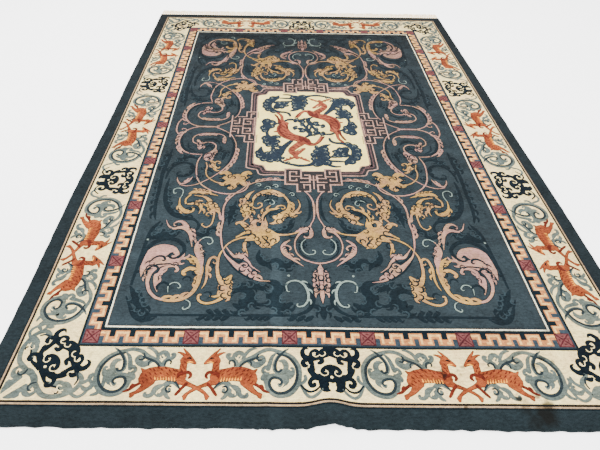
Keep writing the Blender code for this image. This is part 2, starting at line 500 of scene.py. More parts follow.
def curl(samples, radius, turn, ball=1.0):
    """Carries a line on in a tightening curl: its first radius, its turn in degrees, its last width."""
    x, y, width = samples[-1]
    heading = math.atan2(y - samples[-2][1], x - samples[-2][0])
    count = max(3, round(abs(turn) / CURL_STEP))
    for index in range(count):
        t = (index + 1) / count
        heading += math.radians(turn) / count
        stride = abs(math.radians(turn)) / count * radius * (1 - CURL_TIGHTENS * t)
        x += stride * math.cos(heading)
        y += stride * math.sin(heading)
        samples.append([x, y, width * (1 - CURL_NARROWS * t) * (ball if index == count - 1 else 1)])
    return samples


def bent(x, y, heading, turn, length, size, shape):
    """A short bent stroke: shape gives its width, as a share of size, at shares of its length."""
    samples, last = [], 0.0
    for share, wide in shape:
        middle = math.radians(heading + turn * (share + last) / 2)
        x += (share - last) * length * math.cos(middle)
        y += (share - last) * length * math.sin(middle)
        samples.append([x, y, size * wide])
        last = share
    return samples


def comb(samples, first, last, count, side, size, hook=100):
    """Lobes that bend over along one side of a line, side 1 being its left, and the notches behind them."""
    lobes, notches = [], []
    count, size = max(1, round(count * COMB_SPREAD)), size * LOBE_GAIN
    for index in range(count):
        share = first + (last - first) * (index + 0.5) / count
        spot = min(len(samples) - 2, max(1, round(share * (len(samples) - 1))))
        x, y, width = samples[spot]
        heading = math.atan2(samples[spot + 1][1] - samples[spot - 1][1],
                             samples[spot + 1][0] - samples[spot - 1][0])
        out_x, out_y = -side * math.sin(heading), side * math.cos(heading)
        degrees = math.degrees(heading)
        root = width * LOBE_ROOT
        lobes.append(bent(x + out_x * root, y + out_y * root, degrees + side * LOBE_LEAN,
                          -side * (hook + LOBE_BEND), size * LOBE_LENGTH, size * LOBE_WIDTH, LOBE_SHAPE))
        if width < NOTCHED_WIDTH:
            continue
        behind = size * NOTCH_BACK
        reach = width * 0.5 + size * NOTCH_OUT
        notches.append(bent(x + out_x * reach - math.cos(heading) * behind,
                            y + out_y * reach - math.sin(heading) * behind, degrees - side * NOTCH_LEAN,
                            side * NOTCH_BEND, size * NOTCH_LENGTH, size, NOTCH_SHAPE))
    return lobes, notches


class Drawing:
    """A motif as lines of yarn: for each yarn a list of (layer, samples, whether its ends are square).

    notches gives the yarn of the notches in another yarn's lines. wider gives how many times wider than
    drawn the lines of a yarn are knotted, and the mm added. layers gives a yarn's layer, or else 1.
    """

    def __init__(self, notches=None, wider=None, layers=None):
        self.yarns = {}
        self.notches = notches or {}
        self.wider = wider or {}
        self.layers = layers or {}

    def line(self, yarn, points, hook=None, start=None, combs=(), layer=None):
        """A curved line through (x, y, width) points, with curls at its end or start and combs of lobes."""
        layer = self.layers.get(yarn, 1) if layer is None else layer
        times, more = self.wider.get(yarn, (1.0, 0.0))
        samples = smooth([(x, y, width * times + more) for x, y, width in points])
        if start:
            samples = curl(samples[::-1], *start)[::-1]
        if hook:
            samples = curl(samples, *hook)
        self.yarns.setdefault(yarn, []).append((layer, samples, False))
        for settings in combs:
            lobes, notches = comb(samples, *settings)
            self.yarns[yarn] += [(layer, lobe, True) for lobe in lobes]
            if yarn in self.notches:
                dark = self.yarns.setdefault(self.notches[yarn], [])
                dark += [(layer + 1, notch, True) for notch in notches]

    def eye(self, yarn, x, y, size, heading, turn=250, layer=2):
        """A small spiral stroke over a leaf or a cloud, begun at its outer end."""
        strokes = self.yarns.setdefault(yarn, [])
        strokes.append((layer, bent(x, y, heading, turn, size * 1.7, size, NOTCH_SHAPE), True))

    def bar(self, yarn, x, y, across, up, layer=1):
        """A straight-edged patch of knots, given by its middle and its sides."""
        steps = max(1, round(max(across, up) / WIDEST_STRIP))
        shares = [index / steps - 0.5 for index in range(steps + 1)]
        if across >= up:
            samples = [[x + across * share, y, up] for share in shares]
        else:
            samples = [[x, y + up * share, across] for share in shares]
        self.yarns.setdefault(yarn, []).append((layer, samples, True))

    def path(self, yarn, corners, width, layer=1):
        """A line of one width with square corners, as frets are knotted."""
        lines = self.yarns.setdefault(yarn, [])
        for (x, y), (next_x, next_y) in zip(corners, corners[1:]):
            reach = math.hypot(next_x - x, next_y - y)
            more_x, more_y = (next_x - x) / reach * width / 2, (next_y - y) / reach * width / 2
            steps = max(1, round(reach / WIDEST_STRIP))
            samples = [
                [x - more_x + (next_x + 2 * more_x - x) * index / steps,
                 y - more_y + (next_y + 2 * more_y - y) * index / steps, width]
                for index in range(steps + 1)
            ]
            lines.append((layer, samples, True))

    def dot(self, yarn, x, y, size, layer=1):
        """A round spot."""
        samples = [[x - size * 0.01, y, size], [x + size * 0.01, y, size]]
        self.yarns.setdefault(yarn, []).append((layer, samples, False))


def rounded(samples):
    """The line with its two ends rounded off."""
    ends = []
    for (x, y, width), (back_x, back_y, _) in ((samples[0], samples[1]), (samples[-1], samples[-2])):
        reach = math.hypot(x - back_x, y - back_y) or 1.0
        along = ((x - back_x) / reach * width / 2, (y - back_y) / reach * width / 2)
        shares = ((0.5, 0.86), (0.94, 0.34))
        ends.append([[x + along[0] * t, y + along[1] * t, width * wide] for t, wide in shares])
    return ends[0][::-1] + samples + ends[1]


def knot(bm, samples, layer, square, order=0, margin=0.0):
    """Knots one line into the face as a low ribbon with rounded edges, on its own layer.

    Pile never stands quite level: order lifts each line a hair past the one that it crosses.
    """
    if not square:
        samples = rounded(samples)
    count = len(samples)
    top = (GROUND_LIFT + RIBBON_LIFT + LAYER_LIFT * layer + RISE * (order % RISES)) * MM
    strips = max(1, round(max(sample[2] for sample in samples) / WIDEST_STRIP))
    grid = bmesh.ops.create_grid(bm, x_segments=count - 1, y_segments=strips + 2, size=0.5)
    for vert in grid["verts"]:
        spot = round((vert.co.x + 0.5) * (count - 1))
        column = round((vert.co.y + 0.5) * (strips + 2))
        x, y, width = samples[spot]
        half = width / 2 + margin
        flat = half - min(EDGE_ROUND, 0.2 * half)
        edge = column in (0, strips + 2)
        offset = (half if column else -half) if edge else flat * (2 * (column - 1) / strips - 1)
        ahead, behind = samples[min(count - 1, spot + 1)], samples[max(0, spot - 1)]
        run_x, run_y = ahead[0] - behind[0], ahead[1] - behind[1]
        reach = math.hypot(run_x, run_y) or 1.0
        vert.co = (
            (x - run_y / reach * offset) * MM, (y + run_x / reach * offset) * MM,
            FACE + top - (EDGE_DEPTH * MM if edge else 0.0)
        )


def placed(samples, x, y, turn=0, mirror=False):
    """Samples turned about the motif's own middle, turned over first where mirror is true, and moved."""
    cosine, sine = math.cos(math.radians(turn)), math.sin(math.radians(turn))
    flip = -1 if mirror else 1
    return [
        [x + cosine * across - sine * flip * up, y + sine * across + cosine * flip * up, width]
        for across, up, width in samples
    ]


def add_pattern(prefix, drawing, places, yarns):
    """One piece for each yarn of a drawing, knotted at every place it is given."""
    for yarn, lines in drawing.yarns.items():
        bm = bmesh.new()
        for number, spot in enumerate(places):
            for index, (layer, samples, square) in enumerate(lines):
                knot(bm, placed(samples, *spot), layer, square, index * LINE_RISES + number)
        add_pile(f"{prefix}_{yarn}_pile", bm, yarns[yarn])


# How far an outline lies below the line that it goes around, in layers
OUTLINE_DROP = 0.75


def add_outline(name, drawing, places, outlined, margin, material, highest=2):
    """The line of darker knots around the shapes of some yarns, shown where it stands out past them; around
    the field's scrollwork it is partly painted shade, the shadow along the motifs' incised edges.
    """
    bm = bmesh.new()
    for number, spot in enumerate(places):
        for yarn in outlined:
            for index, (layer, samples, square) in enumerate(drawing.yarns[yarn]):
                if layer <= highest:
                    sparse = placed(samples[:-1:2] + samples[-1:], *spot)
                    knot(bm, sparse, layer - OUTLINE_DROP, square, index * LINE_RISES + number, margin)
    add_pile(name, bm, material)


def field_quarter():
    """The lower left quarter of the field, measured from the rug's middle."""
    quarter = Drawing({"rose": "deep", "gold": "deep", "deep": "mist"}, layers={"deep": 0})
    rose, gold, pale, deep = (partial(quarter.line, yarn) for yarn in ("rose", "gold", "pale", "deep"))
    # Great comma leaf at the side, and the ring that grows from it
    rose([(-868, -1282, 4), (-867, -1225, 34), (-846, -1160, 76), (-802, -1122, 92), (-752, -1112, 52),
        (-724, -1132, 26)], hook=(22, -170))
    rose([(-838, -1190, 50), (-800, -1180, 54), (-755, -1180, 36), (-712, -1180, 24), (-690, -1150, 13),
        (-690, -1105, 4)], combs=[(.45, .8, 3, -1, 26, 60)])
    rose([(-700, -1193, 10), (-745, -1198, 26), (-795, -1208, 34), (-826, -1252, 26), (-831, -1310, 18),
        (-814, -1362, 16), (-782, -1398, 15), (-750, -1412, 14)], combs=[(.30, .55, 4, -1, 24, 70)])
    gold([(-765, -1407, 12), (-712, -1418, 17), (-658, -1408, 18), (-620, -1376, 20), (-601, -1325, 22),
        (-596, -1272, 26), (-600, -1225, 34), (-622, -1180, 24), (-655, -1148, 4)],
        combs=[(.02, .3, 4, 1, 30, 50), (.44, .6, 2, 1, 22, 70), (.82, .95, 2, 1, 26, 40)])
    rose([(-594, -1265, 6), (-594, -1215, 13), (-606, -1160, 34), (-628, -1110, 32), (-632, -1070, 14),
        (-618, -1042, 7)], combs=[(.45, .75, 3, -1, 26, 110)])
    pale([(-618, -1042, 7), (-596, -1026, 8), (-568, -1030, 8), (-556, -1052, 8)], hook=(22, -190))
    gold([(-604, -1262, 20), (-622, -1236, 22), (-650, -1230, 22), (-673, -1248, 20)], hook=(18, 120, 1.5))
    rose([(-777, -1370, 4), (-790, -1330, 18), (-797, -1282, 24), (-784, -1246, 20), (-754, -1220, 17),
        (-718, -1218, 15), (-704, -1238, 17)], hook=(12, -120, 1.2), combs=[(.12, .5, 4, -1, 24, 60)])
    pale([(-726, -1372, 3), (-731, -1340, 6), (-716, -1318, 7), (-690, -1318, 7), (-676, -1334, 8)],
        hook=(12, -170))
    pale([(-640, -1412, 4), (-622, -1425, 7), (-618, -1450, 8), (-634, -1464, 8)], hook=(13, -170))
    # Gold stem with its two arches and the cloud leaf at its foot
    gold([(-500, -1108, 8), (-515, -1150, 12), (-519, -1205, 16), (-512, -1262, 18), (-496, -1300, 26),
        (-478, -1345, 22), (-486, -1380, 18), (-512, -1394, 12), (-535, -1392, 5)],
        combs=[(.55, .8, 4, 1, 34, 80), (.62, .8, 2, -1, 22, 60)])
    gold([(-448, -1275, 16), (-462, -1300, 34), (-470, -1345, 40), (-474, -1390, 26), (-505, -1420, 15),
        (-548, -1432, 13), (-582, -1416, 13), (-588, -1390, 12)], hook=(11, -120, 1.4),
        combs=[(.05, .4, 4, 1, 30, 90)])
    gold([(-522, -1165, 6), (-540, -1156, 13), (-558, -1172, 15), (-566, -1220, 16), (-562, -1275, 14),
        (-566, -1320, 9), (-577, -1348, 3)], combs=[(.3, .7, 3, 1, 20, 60)])
    gold([(-548, -1160, 9), (-530, -1166, 8), (-522, -1184, 8)], hook=(14, -220))
    # Pink leaf stem from the crossing, up the side of the great ring
    rose([(-500, -1108, 7), (-512, -1060, 10), (-522, -985, 12), (-518, -905, 11), (-523, -830, 11),
        (-518, -778, 12), (-498, -730, 10), (-462, -680, 9), (-424, -640, 8), (-396, -600, 7),
        (-392, -575, 6)], combs=[(.14, .30, 4, 1, 26, 70), (.36, .40, 2, 1, 26, 70),
        (.62, .70, 2, 1, 20, 70)])
    # Gold arm from the crossing to the dragon-headed scroll
    gold([(-500, -1108, 7), (-480, -1072, 9), (-438, -1038, 11), (-385, -1020, 14), (-340, -1020, 20),
        (-310, -1040, 26), (-285, -1075, 22), (-262, -1094, 5)], combs=[(.45, .85, 4, -1, 30, 80)])
    gold([(-438, -1022, 11), (-400, -994, 18), (-362, -978, 44), (-318, -976, 68), (-272, -990, 50),
        (-225, -1002, 18), (-165, -998, 10), (-118, -980, 9)])
    gold([(-374, -968, 38), (-398, -938, 34), (-420, -916, 24), (-442, -920, 14)], hook=(10, 110, 1.3))
    gold([(-346, -966, 40), (-356, -930, 32), (-346, -904, 24), (-324, -902, 14)], hook=(10, -110, 1.3))
    gold([(-286, -1000, 52), (-262, -1030, 48), (-256, -1060, 34), (-276, -1082, 20)], hook=(10, -110, 1.2))
    gold([(-318, -1004, 42), (-328, -1038, 38), (-318, -1064, 24), (-298, -1068, 12)])
    gold([(-332, -1004, 26), (-358, -1010, 18), (-384, -1036, 14), (-392, -1082, 12), (-374, -1136, 3)])
    gold([(-238, -1004, 24), (-226, -1030, 22), (-236, -1054, 16)], hook=(10, -110, 1.2))
    gold([(-306, -975, 52), (-296, -930, 36), (-302, -890, 26), (-298, -852, 22), (-272, -820, 17),
        (-225, -806, 15)], combs=[(.35, .8, 4, 1, 26, 50)])
    gold([(-404, -1100, 3), (-392, -1120, 6), (-400, -1070, 8), (-385, -1045, 9), (-350, -1040, 10)])
    # Great gold ring with its gathered heart, and the feathered leaf on its left
    gold([(-366, -782, 8), (-364, -738, 14), (-342, -695, 22), (-300, -668, 28), (-248, -666, 26),
        (-202, -690, 16), (-174, -732, 13), (-164, -780, 18), (-172, -822, 30), (-205, -858, 42),
        (-232, -876, 34)], hook=(16, -60, 1.3), combs=[(.2, .5, 4, -1, 36, 120), (.62, .80, 4, 1, 28, 60),
        (.88, .98, 2, 1, 36, 60)])
    gold([(-232, -872, 26), (-222, -905, 26), (-205, -895, 22)])
    gold([(-196, -870, 26), (-152, -850, 26), (-118, -815, 15), (-104, -775, 9), (-114, -732, 3)],
        combs=[(.1, .5, 3, -1, 22, 60)])
    gold([(-360, -660, 3), (-388, -692, 20), (-405, -740, 30), (-404, -790, 36), (-388, -838, 38),
        (-390, -872, 20), (-414, -910, 3)], combs=[(.3, .85, 5, 1, 30, 60), (.2, .75, 5, -1, 28, 60)])
    gold([(-372, -760, 10), (-366, -790, 10), (-344, -806, 10), (-318, -792, 10)], hook=(22, 230))
    pale([(-302, -748, 4), (-290, -738, 6), (-262, -734, 7), (-246, -752, 7)], hook=(20, -240))
    gold([(-238, -806, 10), (-228, -786, 10), (-204, -780, 10)], hook=(20, -250))
    # Small gold spray high in the side, with its pale tendril
    gold([(-562, -706, 3), (-600, -690, 14), (-650, -678, 30), (-700, -674, 26), (-722, -690, 12)],
        combs=[(.25, .75, 5, -1, 22, 50)])
    gold([(-715, -700, 12), (-736, -735, 11), (-732, -770, 11), (-705, -776, 14), (-680, -768, 22),
        (-650, -790, 24), (-645, -822, 10), (-652, -850, 3)], combs=[(.45, .9, 4, 1, 26, 60)])
    gold([(-770, -730, 6), (-766, -775, 12), (-752, -812, 24), (-722, -836, 30), (-694, -834, 22),
        (-684, -812, 14)], hook=(12, 120), combs=[(.2, .5, 2, -1, 20, 60)])
    pale([(-770, -730, 7), (-760, -694, 7), (-766, -656, 7), (-792, -642, 7), (-815, -656, 7),
        (-812, -682, 8)], hook=(13, 150))
    gold([(-690, -704, 8), (-640, -714, 14), (-606, -745, 26), (-590, -790, 30), (-572, -835, 14),
        (-570, -890, 9), (-578, -935, 8), (-602, -955, 8), (-624, -940, 8)], hook=(13, -110, 1.2),
        combs=[(.3, .5, 4, 1, 30, 60), (.25, .5, 4, -1, 24, 60)])
    gold([(-572, -850, 10), (-584, -838, 9), (-604, -844, 9)], hook=(17, 230))
    # Pink bird leaf
    rose([(-814, -905, 3), (-796, -945, 9), (-768, -966, 14), (-735, -958, 22), (-706, -962, 30),
        (-682, -990, 24), (-668, -1035, 16), (-656, -1092, 3)], combs=[(.5, .85, 4, 1, 24, 60)])
    rose([(-700, -952, 26), (-725, -918, 22), (-752, -914, 12), (-768, -930, 9)], hook=(15, 220))
    # Long pink leaf, low in the middle
    rose([(-500, -1108, 6), (-480, -1150, 12), (-440, -1196, 22), (-400, -1232, 34), (-356, -1268, 26),
        (-318, -1296, 12), (-262, -1306, 3)], combs=[(.45, .8, 4, 1, 30, 70)])
    rose([(-486, -1090, 5), (-466, -1120, 9), (-440, -1150, 20), (-408, -1150, 30), (-372, -1180, 14),
        (-350, -1215, 9), (-310, -1248, 3)], combs=[(.3, .5, 2, 1, 24, 100)])
    rose([(-400, -1225, 16), (-410, -1206, 10), (-392, -1195, 10)], hook=(16, -240))
    # Double ring on the middle line, with side leaves
    rose([(-55, -935, 8), (-80, -962, 34), (-108, -985, 18), (-134, -1030, 9), (-141, -1078, 8),
        (-130, -1128, 8), (-96, -1168, 9), (-50, -1188, 9), (-8, -1193, 9)],
        combs=[(.05, .25, 3, -1, 24, 80)])
    rose([(-60, -955, 20), (-52, -985, 22), (-60, -1015, 20), (-84, -1020, 10)], hook=(10, -120, 1.2))
    pale([(-84, -1030, 5), (-106, -1060, 7), (-103, -1105, 8), (-78, -1134, 8), (-50, -1134, 8)],
        hook=(20, 200))
    rose([(-166, -1040, 8), (-192, -1062, 18), (-200, -1092, 26), (-186, -1130, 30), (-150, -1168, 16),
        (-102, -1210, 3)], combs=[(.4, .8, 3, 1, 20, 50)])
    rose([(-196, -1090, 12), (-182, -1076, 10), (-164, -1086, 10)], hook=(15, -240))
    # Feathered leaf on the middle line
    rose([(-20, -1200, 6), (-22, -1240, 34), (-22, -1290, 48), (-21, -1340, 36), (-20, -1385, 22),
        (-20, -1424, 3)], combs=[(.12, .75, 6, 1, 26, 40), (.12, .75, 6, -1, 26, 40)])
    # Pale tendril under it
    pale([(-182, -1358, 6), (-186, -1326, 9), (-168, -1304, 10), (-134, -1300, 11), (-104, -1320, 13),
        (-86, -1360, 15), (-86, -1405, 13), (-104, -1438, 10), (-128, -1446, 8)], hook=(13, -170),
        start=(12, 120), combs=[(.35, .75, 4, 1, 18, 50)])
    # Hourglass stems that rise to the medallion
    rose([(-104, -635, 5), (-66, -668, 8), (-38, -720, 10), (-29, -775, 13), (-29, -835, 13), (-36, -884, 8),
        (-55, -932, 7)])
    for x, y, w in ((-275, -640, 26), (-330, -610, 24), (-232, -620, 24), (-140, -690, 24)):
        pale([(x - w, y + w * .2, 3), (x - w * .5, y + w * .7, 6), (x, y + w * .6, 7)], hook=(w * .6, -260))
    # Arcs that tie the side scrolls to the gold flowers
    rose([(-700, -330, 6), (-715, -385, 9), (-716, -440, 9), (-706, -520, 9), (-686, -578, 10),
        (-650, -625, 10), (-590, -668, 10), (-520, -688, 10), (-455, -680, 10), (-412, -652, 10),
        (-396, -608, 9), (-408, -580, 8)])
    rose([(-392, -606, 8), (-350, -582, 9), (-290, -565, 9), (-225, -560, 9), (-190, -562, 8)],
        combs=[(.15, .8, 5, 1, 24, 80)])
    # Side scroll, its bar on the crosswise middle line
    rose([(-760, -14, 9), (-800, -30, 10), (-838, -66, 12), (-858, -112, 13), (-864, -170, 12),
        (-852, -228, 13), (-826, -276, 14), (-784, -306, 10), (-736, -318, 9), (-700, -318, 8)],
        combs=[(.22, .5, 5, -1, 24, 60), (.56, .72, 4, -1, 28, 70)])
    rose([(-635, -18, 9), (-588, -48, 8), (-545, -85, 8), (-514, -140, 8), (-496, -200, 8), (-491, -262, 9),
        (-496, -325, 12), (-512, -390, 12), (-545, -455, 10), (-590, -516, 8), (-640, -566, 8),
        (-690, -604, 7), (-745, -622, 7), (-790, -612, 6)], combs=[(.34, .62, 8, 1, 28, 80)])
    rose([(-770, -8, 15), (-690, -8, 17), (-625, -8, 15)])
    rose([(-566, -196, 4), (-566, -150, 9), (-582, -112, 9), (-618, -92, 9), (-670, -88, 10), (-722, -92, 10),
        (-762, -114, 9), (-778, -148, 9), (-770, -188, 9), (-742, -206, 9)], combs=[(.3, .62, 5, 1, 26, 90),
        (.0, .1, 2, 1, 26, 80)])
    rose([(-712, -205, 12), (-688, -190, 11), (-650, -192, 10), (-624, -218, 10), (-622, -255, 12),
        (-638, -290, 22), (-655, -325, 50), (-662, -362, 42), (-640, -378, 12)],
        combs=[(.5, .85, 4, 1, 34, 80)])
    rose([(-742, -170, 20), (-725, -200, 24), (-715, -235, 26), (-722, -262, 12)],
        combs=[(.1, .8, 4, -1, 24, 100), (.1, .8, 3, 1, 22, 90)])
    # Crescent with two curls between the side scrolls
    rose([(-880, -98, 10), (-898, -60, 11), (-903, -8, 11)])
    rose([(-862, -98, 9), (-838, -78, 8), (-832, -50, 8), (-850, -34, 8)], hook=(14, 200))
    # Gold sprig beside it and the horned leaf below
    gold([(-640, -378, 10), (-622, -400, 26), (-612, -432, 24), (-592, -452, 12)], hook=(14, 170, 1.2),
        combs=[(.1, .7, 3, -1, 30, 90)])
    gold([(-612, -400, 14), (-596, -386, 10), (-580, -392, 9)], hook=(13, -210))
    gold([(-662, -402, 8), (-652, -440, 9), (-655, -485, 9), (-642, -530, 9), (-610, -568, 9),
        (-570, -592, 10), (-520, -598, 14), (-470, -580, 30)])
    rose([(-814, -548, 3), (-806, -580, 10), (-785, -604, 13), (-762, -596, 16), (-742, -575, 14),
        (-726, -540, 3)], combs=[(.45, .8, 2, 1, 18, 60)])
    # Gold flower at the corner of the medallion, with a dark hook in each of its lobes
    gold([(-562, -548, 10), (-530, -548, 36), (-500, -548, 60), (-462, -550, 80), (-425, -548, 52),
        (-402, -540, 20)])
    gold([(-508, -540, 34), (-520, -506, 36), (-542, -494, 34), (-562, -504, 22)])
    gold([(-440, -540, 34), (-422, -506, 36), (-402, -494, 32), (-386, -504, 18)])
    gold([(-506, -560, 34), (-524, -594, 34), (-546, -604, 30), (-562, -594, 18)])
    gold([(-472, -576, 44), (-478, -616, 40), (-494, -638, 28), (-508, -634, 16)])
    gold([(-444, -566, 40), (-424, -596, 34), (-406, -606, 28), (-390, -596, 16)])
    for x, y, heading, turn in ((-568, -520, 30, -280), (-382, -520, 150, 280), (-566, -578, -40, 280),
    (-506, -602, -60, -280),
                                (-388, -576, 220, -280), (-490, -524, 120, 250), (-452, -588, 200, 240)):
        quarter.eye("deep", x, y, 40, heading, turn, layer=3)
    # Dark hooks in the gathered gold heads, and the folds of the pink comma leaf
    for x, y, size, heading, turn in (
        (-414, -948, 40, -70, 270), (-374, -1000, 40, 20, 260), (-356, -940, 32, 100, 250),
        (-262, -1054, 42, 120, -280), (-340, -1046, 36, -20, 260), (-262, -976, 34, -100, -260),
        (-222, -846, 46, 60, 270), (-190, -872, 42, -40, 270), (-250, -880, 42, 200, -270),
        (-400, -812, 40, 100, -250),
        (-398, -752, 36, 100, -240), (-612, -760, 36, 60, -240), (-704, -836, 40, 20, 250),
        (-668, -794, 36, 20, 240),
        (-476, -1330, 40, 160, 250), (-466, -1374, 36, 160, 240), (-612, -1240, 36, 160, 240),
        (-648, -338, 46, 20, 260),
        (-658, -378, 40, 20, 250), (-612, -424, 36, 60, 250), (-726, -184, 40, 200, 250),
        (-716, -238, 36, 10, 250),
        (-360, -1256, 44, 200, 250), (-402, -1216, 40, 200, 250), (-188, -1112, 36, 10, 240),
        (-84, -970, 38, -30, 240),
        (-22, -1264, 36, 200, 200), (-22, -1320, 34, 200, 200),
    ):
        quarter.eye("deep", x, y, size, heading, turn, layer=3)
    deep([(-846, -1200, 3), (-832, -1172, 9), (-808, -1156, 12), (-784, -1158, 12), (-774, -1172, 11)],
        hook=(12, -150), layer=3)
    deep([(-848, -1262, 6), (-842, -1232, 8), (-812, -1212, 9), (-778, -1206, 9), (-744, -1204, 8),
        (-722, -1214, 6)], layer=3)
    for x, y in ((-852, -1176), (-844, -1202), (-842, -1228)):
        deep([(x - 10, y - 26, 5), (x + 4, y - 12, 9), (x + 22, y - 6, 3)], layer=3)
    # Tone-on-tone vine in deep blue: the ruled line along the near side with its tufts, and the corner leaf
    deep([(-790, -1494, 15), (-500, -1494, 15), (-180, -1493, 15), (-115, -1480, 17), (-78, -1450, 22),
        (-62, -1400, 25), (-68, -1340, 20), (-100, -1300, 8)])
    for start, size, turns in ((-560, 30, 4), (-350, 24, 4), (-160, 32, 3)):
        for index in range(turns):
            x = start + index * size * 1.15
            deep([(x + 16, -1498, size * 0.5), (x, -1508, size * 0.8), (x - 14, -1518, size * 0.5), (x - 22,
                -1510, 5)])
    for x in (-530, -495, -460):
        deep([(x + 18, -1490, 16), (x + 6, -1478, 24), (x - 8, -1470, 18), (x + 4, -1462, 6)])
    deep([(-62, -1440, 22), (-36, -1452, 32), (-20, -1470, 36), (-20, -1500, 24)],
        combs=[(.2, .8, 2, 1, 28, 90)])
    deep([(-905, -1340, 6), (-885, -1370, 26), (-865, -1405, 36), (-850, -1440, 32), (-825, -1465, 26),
        (-790, -1490, 16)], combs=[(.15, .85, 5, 1, 34, 90), (.25, .8, 3, -1, 26, 90)])
    deep([(-908, -1400, 8), (-886, -1440, 14), (-866, -1478, 22), (-840, -1506, 30), (-808, -1520, 26),
        (-776, -1518, 16), (-756, -1506, 5)], combs=[(.35, .9, 4, 1, 30, 90)])
    # Its left stem and the dark ring about the great comma leaf
    deep([(-900, -1330, 14), (-898, -1240, 17), (-892, -1120, 18), (-882, -1000, 22), (-866, -955, 26),
        (-845, -915, 10)], combs=[(.1, .5, 4, -1, 26, 80), (.6, .95, 4, -1, 30, 80)])
    deep([(-884, -1215, 8), (-882, -1150, 18), (-868, -1095, 24), (-835, -1055, 27), (-784, -1036, 26),
        (-730, -1052, 24), (-694, -1092, 20), (-694, -1134, 17), (-720, -1164, 14)], hook=(30, -230), layer=2)
    deep([(-884, -1010, 18), (-856, -1028, 36), (-826, -1012, 40), (-792, -1006, 38), (-760, -1018, 30),
        (-736, -992, 14)], combs=[(.1, .9, 5, 1, 32, 100)])
    # Clouds below the crossing and beside the long pink leaf
    deep([(-430, -1372, 14), (-404, -1352, 34), (-370, -1356, 44), (-350, -1384, 44), (-368, -1420, 42),
        (-394, -1450, 36), (-420, -1438, 20)], combs=[(.05, .95, 6, 1, 34, 100), (.3, .7, 2, -1, 28, 90)])
    deep([(-360, -1398, 14), (-336, -1425, 20), (-300, -1438, 20), (-268, -1425, 18), (-260, -1392, 10)],
        combs=[(.2, .8, 3, -1, 26, 90)])
    deep([(-270, -1306, 24), (-238, -1318, 44), (-224, -1350, 52), (-240, -1392, 50), (-232, -1432, 44),
        (-200, -1452, 38), (-165, -1430, 22)], combs=[(.05, .95, 7, -1, 34, 110), (.1, .8, 4, 1, 30, 100)])
    deep([(-265, -1186, 24), (-232, -1176, 38), (-206, -1200, 42), (-176, -1208, 36), (-150, -1180, 18)],
        combs=[(.05, .95, 5, -1, 32, 100), (.2, .8, 3, 1, 26, 90)])
    deep([(-316, -1110, 10), (-322, -1150, 28), (-304, -1186, 38), (-272, -1206, 30), (-255, -1236, 8)],
        combs=[(.1, .8, 4, 1, 28, 110)])
    deep([(-360, -1306, 12), (-330, -1330, 30), (-298, -1346, 30), (-270, -1362, 10)],
        combs=[(.1, .8, 3, 1, 26, 90)])
    deep([(-492, -1132, 6), (-476, -1170, 12), (-440, -1220, 14), (-390, -1266, 14), (-330, -1298, 9)])
    deep([(-488, -1112, 6), (-468, -1145, 12), (-440, -1172, 14), (-410, -1186, 13), (-394, -1165, 9)],
        layer=2)
    # Dark leaf inside the arch of the pink leaf stem, and the ring around the gathered gold heart
    deep([(-455, -745, 4), (-462, -782, 26), (-474, -830, 42), (-482, -880, 32), (-485, -942, 3)],
        combs=[(.1, .75, 4, 1, 32, 90), (.1, .75, 4, -1, 30, 90)])
    deep([(-308, -870, 14), (-314, -920, 26), (-294, -966, 34), (-246, -990, 38), (-196, -978, 34),
        (-156, -946, 18), (-138, -905, 5)], combs=[(.2, .95, 7, 1, 34, 90), (.3, .8, 3, -1, 28, 90)])
    deep([(-302, -900, 9), (-292, -862, 12), (-262, -838, 13), (-228, -834, 12), (-208, -846, 8)], layer=2)
    # Long dark vine of the side, with its ring and tufts
    deep([(-892, -270, 10), (-896, -364, 26), (-903, -450, 28), (-906, -541, 26), (-900, -644, 24),
        (-896, -774, 22), (-884, -860, 18), (-872, -900, 6)], combs=[(.04, .3, 4, -1, 42, 80),
        (.42, .95, 8, -1, 30, 70)])
    deep([(-858, -560, 12), (-862, -610, 20), (-859, -663, 24), (-850, -732, 30), (-826, -800, 34),
        (-784, -856, 36), (-724, -884, 32), (-672, -896, 22), (-648, -930, 8)],
        combs=[(.12, .85, 8, 1, 34, 80)])
    deep([(-880, -560, 12), (-874, -500, 17), (-856, -446, 20), (-818, -408, 22), (-768, -410, 22),
        (-736, -440, 20), (-730, -486, 17), (-752, -526, 17), (-790, -540, 16)], hook=(36, -200),
        combs=[(.1, .45, 4, 1, 28, 90), (.5, .9, 5, -1, 26, 100)])
    deep([(-842, -420, 16), (-816, -374, 32), (-778, -344, 34), (-738, -352, 26), (-716, -376, 8)],
        combs=[(.1, .9, 5, 1, 30, 90)])
    deep([(-690, -985, 8), (-652, -975, 16), (-640, -945, 18), (-652, -915, 14)])
    deep([(-644, -1000, 26), (-606, -1012, 34), (-580, -998, 16)], combs=[(.1, .8, 3, 1, 26, 90)])
